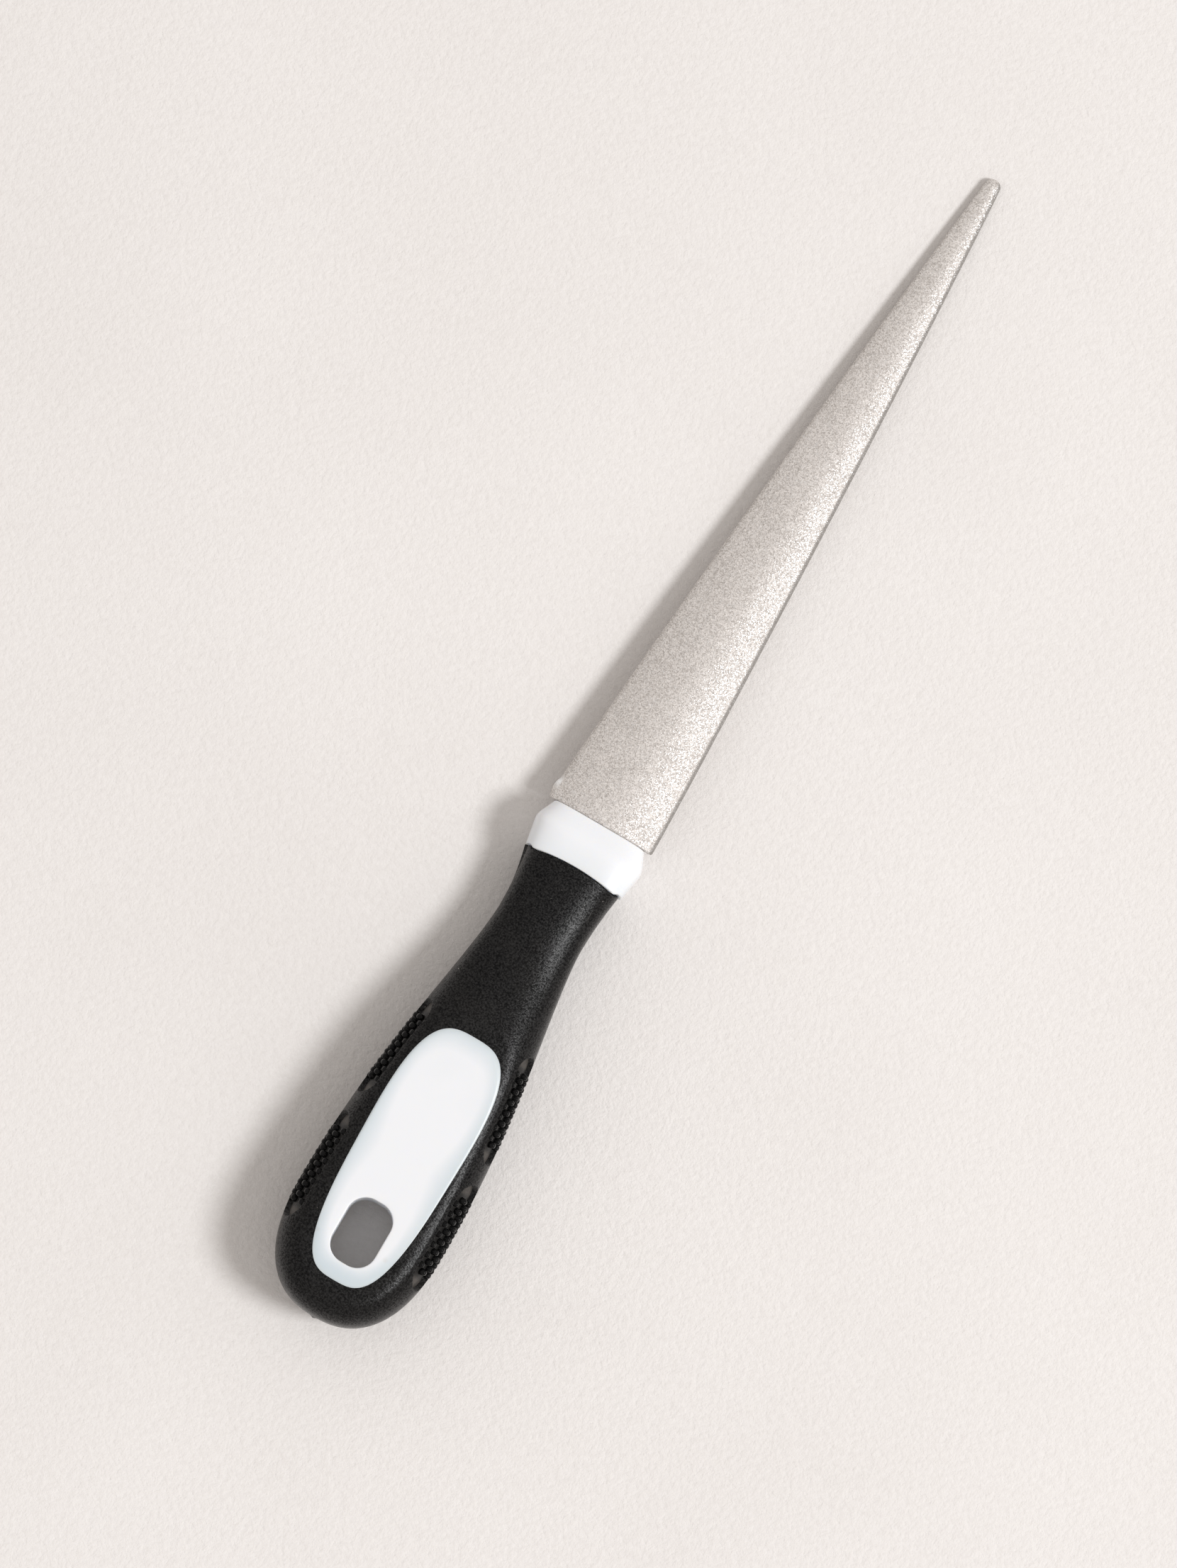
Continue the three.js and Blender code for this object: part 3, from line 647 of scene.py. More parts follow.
pad_floor = pad_floor_finish()
stud_gloss = stud_finish()
print("finishes:", pad_floor.name, stud_gloss.name)

# %% [markdown]
# ## The steel
#
# Blade and tang are one plate. Its section is a shallow crown above and below, with narrow rounded
# edges, and it is carried from the tip to the collar while it widens. The plate could be a box
# with bevels, but the crown gives it the bright band along one side, so it is a carried section.
# The rows run on over the base's step into the flat tang, and both ends close in a point.

# %% The plate's section
BLADE_LENGTH = 166.5
BLADE_BASE_Y = TIP_Y - BLADE_LENGTH
BASE_WIDTH, TIP_WIDTH = 25.8, 3.2
BASE_THICKNESS, TIP_THICKNESS = 7.2, 2.4
EDGE_THICKNESS = 1.5
EDGE_BELLY, EDGE_BELLY_POWER = 0.85, 0.6
EDGE_ROUND_POWER = 22
LEAN = math.tan(math.radians(1.25))


def blade_half_width(y):
    """Half the width: a straight taper with a slight bow."""
    share = np.clip((TIP_Y - y) / BLADE_LENGTH, 0, 1)
    straight = (TIP_WIDTH + (BASE_WIDTH - TIP_WIDTH) * share) / 2
    return straight + EDGE_BELLY * np.sin(np.pi * share) ** EDGE_BELLY_POWER


def blade_half_thickness(y):
    """Half the thickness at the middle, which grows with the width."""
    share = (2 * blade_half_width(y) - TIP_WIDTH) / (BASE_WIDTH - TIP_WIDTH)
    return (TIP_THICKNESS + (BASE_THICKNESS - TIP_THICKNESS) * share) / 2


def blade_section(y, turn, keep):
    """The section at rows y: height is crown times 1 less the square of the place across, plus the
    edge's rounding. keep shrinks the whole section towards the tip's point."""
    across = np.sin(turn)
    crown = blade_half_thickness(y) - EDGE_THICKNESS / 2
    rounding = np.sqrt(np.clip(1 - np.abs(across) ** EDGE_ROUND_POWER, 0, None))
    height = crown * (1 - across**2) + EDGE_THICKNESS / 2 * rounding
    x = blade_half_width(y) * across * keep
    return x, height * np.sign(np.cos(turn)) * keep


print("half thickness at the base", round(float(blade_half_thickness(BLADE_BASE_Y)), 2), "mm")

# %% The blade's rows
TIP_ROUND = 1.6
BASE_ROUND = 0.35
BLADE_COLUMNS = 144
BLADE_ROWS = 190
TIP_ROWS = 12
BASE_ROWS = 5
NIB_FROM_BASE, NIB_LENGTH, NIB_HEIGHT = 2.7, 1.5, 0.45
NIB_FROM_MIDDLE = 0.8

plate_turn = (np.arange(BLADE_COLUMNS) + 0.5) * 2 * np.pi / BLADE_COLUMNS


def blade_rows():
    """Rows from the tip's point to the base and over its rounded edge. The tip closes as a quarter
    of an ellipse, and a small nib stands out from the left edge near the base."""
    quarter = np.linspace(0, np.pi / 2, TIP_ROWS)
    tip_y = TIP_Y - TIP_ROUND * (1 - np.cos(quarter))
    body_y = np.linspace(TIP_Y - TIP_ROUND, BLADE_BASE_Y + BASE_ROUND, BLADE_ROWS)[1:]
    base_turn = np.linspace(0, np.pi / 2, BASE_ROWS)[1:]
    base_y = BLADE_BASE_Y + BASE_ROUND * (1 - np.sin(base_turn))
    y = np.concatenate([tip_y, body_y, base_y])[:, None]
    keep = np.concatenate([np.sin(quarter), np.ones(len(body_y) + len(base_y))])[:, None]
    x, z = blade_section(y, plate_turn[None, :], keep)
    shrink = BASE_ROUND * (1 - np.cos(base_turn))[:, None]
    first = len(tip_y) + len(body_y)
    x[first:] *= 1 - shrink / np.max(np.abs(x[first:]), axis=1, keepdims=True)
    z[first:] *= 1 - shrink / np.max(np.abs(z[first:]), axis=1, keepdims=True)
    nib = NIB_HEIGHT * np.exp(-(((y - BLADE_BASE_Y - NIB_FROM_BASE) / NIB_LENGTH) ** 4))
    at_left = smooth((-x / blade_half_width(y) - NIB_FROM_MIDDLE) / (1 - NIB_FROM_MIDDLE))
    return x - nib * at_left, y, z


print("blade rows:", blade_rows()[0].shape)

# %% The whole plate
TANG_HALF_WIDTH, TANG_HALF_THICKNESS = 5.5, 1.8
TANG_POWER = 8
TANG_END_KEEP = 0.85
# width and strength of the painted shade along the right edge
PAINTED_SHADE_WIDTH, PAINTED_SHADE_SHARE = 1.0, 0.85
BARE_FROM_NIB, BARE_LENGTH = 1.2, 1.0
BARE_WIDTH, BARE_BLEND = 1.1, 0.6


def tang_rows():
    """The flat tang: a squared oval from the blade's base back to its end, which closes on the axis."""
    y = np.array([BLADE_BASE_Y, BLADE_BASE_Y - 1, TANG_END_Y + 1, TANG_END_Y, TANG_END_Y])[:, None]
    keep = np.array([1, 1, 1, TANG_END_KEEP, 0])[:, None]
    from_x_axis = np.pi / 2 - plate_turn
    x, z = oval_ring(TANG_HALF_WIDTH, TANG_HALF_THICKNESS, TANG_POWER, from_x_axis)
    return x[None, :] * keep, y, z[None, :] * keep


def make_steel():
    """The blade's rows and the tang's in one surface that leans to one side, with the places where
    the nib's metal is bare and where painted shade darkens the right edge."""
    x, y, z = (np.concatenate(pair) for pair in zip(blade_rows(), tang_rows()))
    y = y + np.zeros_like(x)
    x = x + LEAN * (y - BLADE_BASE_Y)
    nib_y = BLADE_BASE_Y + NIB_FROM_BASE + BARE_FROM_NIB
    along_nib = np.exp(-(((y - nib_y) / BARE_LENGTH) ** 2))
    bare = along_nib * smooth((-x - BASE_WIDTH / 2 + BARE_WIDTH) / BARE_BLEND)
    from_edge = blade_half_width(y) - (x - LEAN * (y - BLADE_BASE_Y))
    # painted shade along the right edge, over its last millimetre
    dark = smooth((PAINTED_SHADE_WIDTH - from_edge) / (PAINTED_SHADE_WIDTH / 2))
    fields = {"bare": bare, "painted_edge_shade": PAINTED_SHADE_SHARE * dark * (y > BLADE_BASE_Y)}
    parts = [(np.stack([x, y, z], axis=-1), grid_faces(*x.shape, ring=True))]
    return make_piece("steel_plate", parts, [grit_steel], fields=fields)


steel_plate = make_steel()
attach(steel_plate, "root")
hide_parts("sharpening_steel")

# %% [markdown]
# ## The white core
#
# One moulding makes the collar, the spine inside the grip, and the land with the wall of the hang
# hole. The land is a ring: a closed profile runs up the hole's wall, over the land to its border,
# down inside the grip and back below. Carried round the hole, it gives a smooth rim with no cuts.

# %% Land and hang hole
HOLE_FROM_BUTT = 20.6
HOLE_HALF_WIDTH, HOLE_HALF_LENGTH, HOLE_CORNER = 5.25, 7.6, 4.4
HOLE_Y = BUTT_Y + HOLE_FROM_BUTT
HOLE_RIM = 0.28
BORDER_ROUND = 0.25
BORDER_FALL, BORDER_FALL_WIDTH = 0.14, 1.8
# reach, fall-off and extra near the hang hole of the painted shade at the land's border
BORDER_SHADE_REACH, HOLE_SHADE_REACH, SHADE_POWER, HOLE_SHADE_GAIN = 5.2, 4.5, 1.2, 1.6
LAND_COLUMNS = 280
FINE_OUTLINE = 6000
RIM_ROWS, LAND_ROWS, BORDER_ROWS = 7, 26, 5


def hole_outline(turn):
    """A rectangle with round corners: corner centres plus a circle, by the turn of its normal."""
    x = (HOLE_HALF_WIDTH - HOLE_CORNER) * np.sign(np.cos(turn)) + HOLE_CORNER * np.cos(turn)
    y = (HOLE_HALF_LENGTH - HOLE_CORNER) * np.sign(np.sin(turn)) + HOLE_CORNER * np.sin(turn)
    return x, y


def towards(directions, x, y):
    """Points of a fine outline in the given directions from its centre, by interpolation."""
    found = np.unwrap(np.arctan2(y, x))
    order = np.argsort(found)
    found, x, y = found[order], x[order], y[order]
    full = 2 * np.pi
    found = np.concatenate([found - full, found, found + full])
    wrapped = np.mod(directions - found[len(x)], full) + found[len(x)]
    return np.interp(wrapped, found, np.tile(x, 3)), np.interp(wrapped, found, np.tile(y, 3))


def even_border():
    """The land's border as points that are evenly spaced along it."""
    fine = np.linspace(0, 2 * np.pi, FINE_OUTLINE, endpoint=False)
    x, y = land_outline(fine)
    length = np.cumsum(np.hypot(np.diff(x, prepend=x[-1]), np.diff(y, prepend=y[-1])))
    even = np.linspace(0, length[-1], LAND_COLUMNS, endpoint=False)
    return np.interp(even, length, x), np.interp(even, length, y)


def land_profile(span):
    """Distance from the hole's wall and height, for every column: up the hole's rounded rim, over
    the land, which falls a little towards its border, round the border, and the same below."""
    quarter = np.linspace(0, np.pi / 2, RIM_ROWS)
    rim_out = HOLE_RIM * (1 - np.cos(quarter))
    rim_z = HALF_THICKNESS - HOLE_RIM * (1 - np.sin(quarter))
    rows = [(out + 0 * span, z + 0 * span) for out, z in zip(rim_out, rim_z)]
    for share in np.linspace(0, 1, LAND_ROWS)[1:]:
        out = HOLE_RIM + (span - HOLE_RIM - BORDER_ROUND) * share
        inside = np.clip(1 - (span - out) / BORDER_FALL_WIDTH, 0, 1)
        rows.append((out, HALF_THICKNESS - BORDER_FALL * inside**2))
    edge_z = HALF_THICKNESS - BORDER_FALL - BORDER_ROUND
    for turn in np.linspace(0, np.pi / 2, BORDER_ROWS)[1:]:
        out = span - BORDER_ROUND * (1 - np.sin(turn))
        rows.append((out, edge_z + BORDER_ROUND * np.cos(turn) + 0 * span))
    out, height = np.array(rows).transpose(1, 0, 2)
    out = np.concatenate([out, out[::-1], out[:1]])
    return out, np.concatenate([height, -height[::-1], height[:1]])


def painted_border_shade(x, y, out):
    """Painted shade on the land, 1 at its border and 0 well inside it, and more beside the hole.
    The place's share of the way from the land's middle to its border is the power mean that the
    outline is made of."""
    across = np.abs(x / (LAND_HALF_WIDTH * (1 + LAND_EGG * y / LAND_HALF_LENGTH))) ** LAND_POWER
    along = np.abs(y / LAND_HALF_LENGTH) ** LAND_POWER
    oval = (across + along) ** (1 / LAND_POWER)
    to_border = np.clip(1 - np.hypot(x, y) * (1 / oval - 1) / BORDER_SHADE_REACH, 0, 1) ** SHADE_POWER
    to_hole = np.clip(1 - out / HOLE_SHADE_REACH, 0, 1)
    return np.clip(to_border * (1 + HOLE_SHADE_GAIN * to_hole), 0, 1)


def land_parts():
    """The ring-shaped part of the core, and each point's share of painted shade near the land's border.
    """
    outer_x, outer_y = even_border()
    directions = np.arctan2(outer_y - HOLE_Y, outer_x)
    fine = np.linspace(0, 2 * np.pi, FINE_OUTLINE, endpoint=False)
    inner_x, inner_y = towards(directions, *hole_outline(fine))
    inner_y = inner_y + HOLE_Y
    span = np.hypot(outer_x - inner_x, outer_y - inner_y)
    out, height = land_profile(span)
    share = out / span
    x = inner_x + (outer_x - inner_x) * share
    y = inner_y + (outer_y - inner_y) * share
    points = np.stack([x, y, height], axis=-1)
    return points, grid_faces(*x.shape, ring=True), painted_border_shade(x, y, out)


land_points, land_faces, land_painted_shade = land_parts()
print("land ring:", land_points.shape)

# %% Collar and spine
COLLAR_POWER = 4
COLLAR_REAR = (11.95, 8.55)
COLLAR_WIDE = (13.2, 8.2)
COLLAR_FACE = (11.2, 6.6)
COLLAR_CHAMFER = 4.5
COLLAR_SOFT = 1.1
FACE_SOFT = 0.35
REAR_SOFT = 0.45
COLLAR_COLUMNS = 128
COLLAR_UNDER = 0.06
# strength of the painted shade on the collar beside the seam with the black grip
SEAM_SHADE = 0.3
NEARLY_CLOSED = 0.01
SPINE_WALL = 2.8
SPINE_START_Y, SPINE_OVERLAP = -4, 3
SPINE_ROWS, SPINE_COLUMNS = 24, 48
STAIN_Y, STAIN_BLEND = -18, 6


def softened_path(corners, radii, steps=7):
    """A path of straight lines whose corners are curves: from a point a radius before each corner
    to one a radius after it, the weights of start, corner and end are (1-t)^2, 2t(1-t) and t^2."""
    path = [corners[0]]
    blend = np.linspace(0, 1, steps)[:, None]
    for before, corner, after, radius in zip(corners, corners[1:], corners[2:], radii):
        start = corner + (before - corner) * min(0.5, radius / np.linalg.norm(before - corner))
        end = corner + (after - corner) * min(0.5, radius / np.linalg.norm(after - corner))
        path.extend((1 - blend) ** 2 * start + 2 * blend * (1 - blend) * corner + blend**2 * end)
    path.append(corners[-1])
    return np.array(path)


def collar_parts():
    """A closed loft from the axis inside the grip, round the rear edge, over the widest ring and the
    nose, to the axis at the front face. Each station is a place along, a half width, a half height."""
    wide_y = COLLAR_FACE_Y - COLLAR_CHAMFER
    corners = np.array([
        [0.0, NEARLY_CLOSED, NEARLY_CLOSED],
        [0.0, *COLLAR_REAR],
        [wide_y - SEAM_Y, *COLLAR_WIDE],
        [COLLAR_FACE_Y - SEAM_Y, *COLLAR_FACE],
        [COLLAR_FACE_Y - SEAM_Y, NEARLY_CLOSED, NEARLY_CLOSED],
    ])
    path = softened_path(corners, [REAR_SOFT, COLLAR_SOFT, FACE_SOFT])
    turn = np.linspace(0, 2 * np.pi, COLLAR_COLUMNS, endpoint=False)
    x, z = oval_ring(path[:, 1:2], path[:, 2:3], COLLAR_POWER, turn[None, :])
    ahead = path[:, 0:1]
    share = np.clip(ahead / (wide_y - SEAM_Y), 0, 1)
    y = SEAM_Y + ahead + (seam_y(x) + COLLAR_UNDER - SEAM_Y) * (1 - share)
    # painted shade on the collar near the seam with the black grip
    border = SEAM_SHADE * np.clip(1 - (y - seam_y(x)) / BORDER_SHADE_REACH, 0, 1)
    return np.stack([x, y, z], axis=-1), grid_faces(*x.shape, ring=True), border


def spine_parts():
    """The bar inside the grip, from ahead of the hang hole to the collar."""
    front = SEAM_Y + SPINE_OVERLAP
    body = np.linspace(SPINE_START_Y + 1, front, SPINE_ROWS)
    y = np.array([SPINE_START_Y, SPINE_START_Y, *body, front])[:, None]
    half_width = np.clip(grip_half_width(y) - SPINE_WALL, 1, None)
    half_height = np.minimum(grip_half_height(y), HALF_THICKNESS) - SPINE_WALL
    half_width[[0, -1]] = half_height[[0, -1]] = NEARLY_CLOSED
    turn = np.linspace(0, 2 * np.pi, SPINE_COLUMNS, endpoint=False)[None, :]
    x, z = oval_ring(half_width, half_height, SECTION_POWER, turn)
    return np.stack([x, y + 0 * x, z], axis=-1), grid_faces(*x.shape, ring=True)


collar_points, collar_faces, collar_painted_shade = collar_parts()
spine_points, spine_faces = spine_parts()
no_shade = np.zeros(spine_points[..., 0].size)
# painted shade for the core: the land's border, the hang hole and the collar's seam
core_painted_shade = np.concatenate([land_painted_shade.ravel(), collar_painted_shade.ravel(), no_shade])
rear_nearness = smooth((STAIN_Y - land_points[..., 1]) / STAIN_BLEND).ravel()
core_stain = np.concatenate([rear_nearness, np.zeros(core_painted_shade.size - rear_nearness.size)])
core_moulding = make_piece(
    "core_moulding",
    [(land_points, land_faces), (collar_points, collar_faces), (spine_points, spine_faces)],
    [rigid_core],
    fields={"border": core_painted_shade, "stain": core_stain},
)
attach(core_moulding, "root")
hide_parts("handle_core")

# %% [markdown]
# ## The grip
#
# The grip is a skin of rows along the handle and columns round it. Each row is half a section, from
# the land's window over the flank to the window below, and the other half is its mirror. Where
# there is no window the halves meet on the middle line. Pockets are pressed into that skin: points
# near a pocket's outline are drawn onto it first, so that its rim is a clean line.

# %% Rows and columns of the skin
WINDOW_INSET = 0.5
SKIN_BELOW_LAND = 0.09
SKIN_TOP = HALF_THICKNESS - SKIN_BELOW_LAND
SHOULDER = math.radians(42)
TOP_COLUMNS = 12
FLANK_COLUMNS = 88
PAD_STEP = 0.27
FLAT_END, FLAT_FALL_LENGTH, FLAT_FALL = 33, 12, 0.9
SHOULDER_POWER = 26
NEARLY_NOTHING = 0.005
BUTT_REACH, BUTT_ROWS = 12, 30
PADS_END_Y, NECK_ROWS, LIP_LENGTH = 34, 62, 3
WINDOW_END_ROWS, WINDOW_END_SHARE, WINDOW_END_POWER = 9, 0.045, 2.4
ROW_DIGITS, CLOSEST_ROWS = 4, 0.004


def skin_rows():
    """Places of the rows: close at the butt, at the window's ends and along the pads."""
    window_end = LAND_HALF_LENGTH - WINDOW_INSET
    quarter = np.sqrt(np.clip(1 - np.linspace(0, 1, BUTT_ROWS) ** 2, 0, None))
    butt = BUTT_Y + BUTT_REACH * (1 - quarter)
    beside_pads = np.arange(BUTT_Y + BUTT_REACH, PADS_END_Y, PAD_STEP)
    neck = np.linspace(PADS_END_Y, SEAM_Y - LIP_LENGTH, NECK_ROWS)[1:]
    closer = np.linspace(0, 1, WINDOW_END_ROWS) ** WINDOW_END_POWER
    squeeze = window_end * (1 - WINDOW_END_SHARE * closer)
    rows = np.unique(np.concatenate([butt[:-1], beside_pads, neck, squeeze, -squeeze]).round(ROW_DIGITS))
    return rows[np.concatenate([[True], np.diff(rows) > CLOSEST_ROWS])]


def skin_half(y):
    """Half sections at rows y, from the window above over the flank to the window below. The top
    runs evenly across and the flank turns evenly. The height z is limited softly: it becomes
    z / (1 + (z / limit)^power)^(1 / power), which rounds the shoulder beside the flat."""
    y = y[:, None]
    width = np.clip(grip_half_width(y), NEARLY_NOTHING, None)
    height = np.clip(grip_half_height(y), NEARLY_NOTHING, None)
    shoulder_x = width * math.sin(SHOULDER) ** (2 / SECTION_POWER)
    shoulder_z = height * math.cos(SHOULDER) ** (2 / SECTION_POWER)
    window = window_half_width(y, WINDOW_INSET)
    across = window + (shoulder_x - window) * np.linspace(0, 1, TOP_COLUMNS + 1)[None, :-1]
    rise = (1 - (across / width) ** SECTION_POWER) ** (1 / SECTION_POWER)
    top = height * rise
    turn = np.arctan2(shoulder_z, shoulder_x) * np.linspace(1, -1, FLANK_COLUMNS + 1)[None, :]
    flank_x, flank_z = oval_ring(width, height, SECTION_POWER, turn)
    x = np.concatenate([across, flank_x, across[:, ::-1]], axis=1)
    z = np.concatenate([top, flank_z, -top[:, ::-1]], axis=1)
    limit = SKIN_TOP - FLAT_FALL * smooth((y - FLAT_END) / FLAT_FALL_LENGTH)
    return x, y + 0 * x, z / (1 + (np.abs(z) / limit) ** SHOULDER_POWER) ** (1 / SHOULDER_POWER)


rows_y = skin_rows()
print(len(rows_y), "rows along the grip")

# %% Pockets, flash and gate mark
POCKET_CLEAR = 0.3
POCKET_DEPTH = PAD_RECESS + POCKET_CLEAR
POCKET_WALL = 0.3
SNAP = POCKET_WALL / 2
SNAP_LEFT = 0.15
NEAR_POCKET = 1.2
STILL_FLOOR = -POCKET_WALL - NEAR_POCKET
POCKET_REACH = 5
SMALLEST_REACH = 1e-6
FLASH_HEIGHT, FLASH_LENGTH, FLASH_WIDTH = 0.75, 10, 0.16
GATE_HEIGHT, GATE_RADIUS = 0.35, 0.7


def snapped(distance):
    """Distances drawn onto the rim at 0 and the pocket wall's foot, and stretched evenly beyond."""
    foot = -POCKET_WALL
    kept = SNAP * SNAP_LEFT
    onto_rim = distance * SNAP_LEFT
    onto_foot = foot + (distance - foot) * SNAP_LEFT
    outer = kept + (distance - SNAP) * (NEAR_POCKET - kept) / (NEAR_POCKET - SNAP)
    inner = foot - kept + (distance - foot + SNAP) * (NEAR_POCKET - kept) / (NEAR_POCKET - SNAP)
    near = np.where(np.abs(distance) <= SNAP, onto_rim, onto_foot)
    near = np.where(distance > SNAP, outer, near)
    return np.where(distance < foot - SNAP, inner, near)


def press_pocket(points, entry):
    """Moves points into one pocket. Near the outline they are drawn onto its rim, while the ones
    inside the still floor keep their places. Then they go down by the pocket's depth times a soft S
    over the width of its wall."""
    pad, centre, axes = entry["pad"], entry["centre"], entry["axes"]
    local = (points - centre) @ axes.T
    distance = stadium_distance(pad, local[..., 0], local[..., 1])
    chosen = (distance < NEAR_POCKET) & (np.abs(local[..., 2]) < POCKET_REACH)
    x, y, away = local[chosen, 0], local[chosen, 1], distance[chosen]
    straight = pad["length"] / 2 - pad["height"] / 2
    toward_x = x - np.clip(x, -straight, straight)
    reach = np.maximum(np.hypot(toward_x, y), SMALLEST_REACH)
    target = np.where(away > STILL_FLOOR, snapped(away), away)
    shift = target - away
    x, y = x + shift * toward_x / reach, y + shift * y / reach
    depth = POCKET_DEPTH * smooth(-target / POCKET_WALL)
    rise = surface_rise(centre, axes, x, y)
    level = np.minimum(rise, local[chosen, 2] + NEAR_POCKET) - depth
    pressed = points.copy()
    pressed[chosen] = centre + np.stack([x, y, level], axis=-1) @ axes
    return pressed


def add_marks(points):
    """A thin fin of flash on the left parting line near the lip, and a gate mark on the butt."""
    x, y, z = points[..., 0], points[..., 1], points[..., 2]
    run = np.clip((y - (SEAM_Y - FLASH_LENGTH)) / FLASH_LENGTH, 0, 1)
    fin = FLASH_HEIGHT * run**1.5 * np.exp(-((z / FLASH_WIDTH) ** 2)) * (x < 0)
    radius = np.hypot(x, z)
    gate = GATE_HEIGHT * np.exp(-((radius / GATE_RADIUS) ** 4)) * (y < BUTT_Y + 2)
    moved = points.copy()
    moved[..., 0] -= fin
    moved[..., 1] -= gate
    return moved


# %% The skin itself
LIP_ROUND = 0.4
LIP_ROWS, LIP_ROUND_ROWS = 9, 6
FRONT_RINGS = (0.8, 0.02)
RUBBED_X, RUBBED_Y, RUBBED_REACH = 7, 60, 8
RUBBED_STRETCH = 2


def front_rows(x, y):
    """The places of the last rows up to the seam and over the lip's rounding, each with how far
    the rounding draws it in. The seam's place differs from column to column."""
    seam = seam_y(x[-1])
    start = y[-1]
    rows = []
    for share in np.linspace(0, 1, LIP_ROWS)[1:]:
        rows.append((start + (seam - LIP_ROUND - start) * share, 0.0))
    for turn in np.linspace(0, np.pi / 2, LIP_ROUND_ROWS)[1:]:
        rows.append((seam - LIP_ROUND * (1 - np.sin(turn)), LIP_ROUND * (1 - np.cos(turn))))
    return rows, seam


def right_skin():
    """One half of the skin with its front: each row near the lip is the last full row, grown by
    what the grip's width gains there and drawn in by the rounding, and then it runs to the axis."""
    x, y, z = skin_half(rows_y)
    last_x, last_y, last_z = x[-1], y[-1], z[-1]
    rows, seam = front_rows(x, y)
    reach = np.hypot(last_x, last_z)
    for row_y, inset in rows:
        growth = grip_half_width(row_y) - grip_half_width(last_y)
        keep = 1 + growth / reach - inset / reach
        x, y, z = np.vstack([x, last_x * keep]), np.vstack([y, row_y]), np.vstack([z, last_z * keep])
    for keep in FRONT_RINGS:
        x, y, z = np.vstack([x, x[-1] * keep]), np.vstack([y, seam]), np.vstack([z, z[-1] * keep])
    return np.stack([x, y, z], axis=-1)


def make_grip():
    """Both halves of the skin with their pockets and marks, and the wall of the window."""
    right = right_skin()
    left = right * np.array([-1, 1, 1])
    for entry in pad_list:
        if entry["centre"][0] > 0:
            right = press_pocket(right, entry)
        else:
            left = press_pocket(left, entry)
    right, left = add_marks(right), add_marks(left)
    right[0] = left[0] = np.array([0, BUTT_Y - GATE_HEIGHT, 0])
    right[-1, :] = left[-1, :] = right[-1].mean(axis=0) * np.array([0, 1, 1])
    faces = grid_faces(*right.shape[:2])
    parts = [(right, faces), (left, faces[:, ::-1])]
    wall_rows = np.flatnonzero(np.abs(rows_y) <= LAND_HALF_LENGTH - WINDOW_INSET + MERGE_MM)
    for half in (right, left):
        wall = half[wall_rows][:, [0, -1]]
        parts.append((wall, grid_faces(len(wall_rows), 2)))
    places = np.concatenate([part_points.reshape(-1, 3) for part_points, _ in parts])
    away = np.hypot(places[:, 0] - RUBBED_X, (places[:, 1] - RUBBED_Y) / RUBBED_STRETCH)
    rubbed = smooth(1 - away / RUBBED_REACH)
    return make_piece("grip_moulding", parts, [soft_grip], fields={"rubbed": rubbed})


grip_moulding = make_grip()
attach(grip_moulding, "root")
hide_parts("soft_grip")

# %% [markdown]
# ## The pads
#
# A pad is a thin floor with a rounded outline and rows of studs that nest between each other. The
# floor is a set of rings that shrink from the outline to the middle line. A stud is a small turned
# shape with a domed end, only a few dozen faces, copied to its places by adding its profile to
# every place at once. The studs lean with the flank, as the mould's halves have to draw off them.

# %% Floor and studs of one pad
STUD_RADIUS, STUD_TIP_RADIUS = 0.76, 0.6
STUD_PITCH = 2.5
STUD_ROW_PITCH = STUD_PITCH * math.sin(math.pi / 3)
STUD_PROUD = 0.15
STUD_END_MARGIN, STUD_SIDE_MARGIN = 4.1, 0.85
STUD_SIDES = 12
STUD_FOOT_FLARE, STUD_FOOT_HEIGHT = 0.12, 0.15
DOME, DOME_SHARE, DOME_WIDTH = 0.22, 0.28, 0.75
PAD_INSET = 0.3
PAD_EDGE_ROUND = 0.2
PAD_TOP_RINGS, PAD_EDGE_RINGS, PAD_UNDER_RINGS = 14, 5, 6
RING_POINTS = 160
OPEN_END_BLEND = 1.2


def stadium_ring(pad, inset, count):
    """Even points round the pad's outline, drawn in by an inset towards its middle line."""
    radius = pad["height"] / 2
    straight = pad["length"] / 2 - radius
    around = np.linspace(0, 4 * straight + 2 * np.pi * radius, count, endpoint=False)
    first = 2 * straight
    half = first + np.pi * radius
    second = around >= half
    place = np.where(second, around - half, around)
    turn = np.clip((place - first) / radius, 0, np.pi)
    x = np.clip(place, 0, first) - straight + 0 * turn
    reach = radius - inset
    px = np.where(place < first, x, straight + reach * np.sin(turn))
    py = -reach * np.cos(turn)
    return np.where(second, -px, px), np.where(second, -py, py)


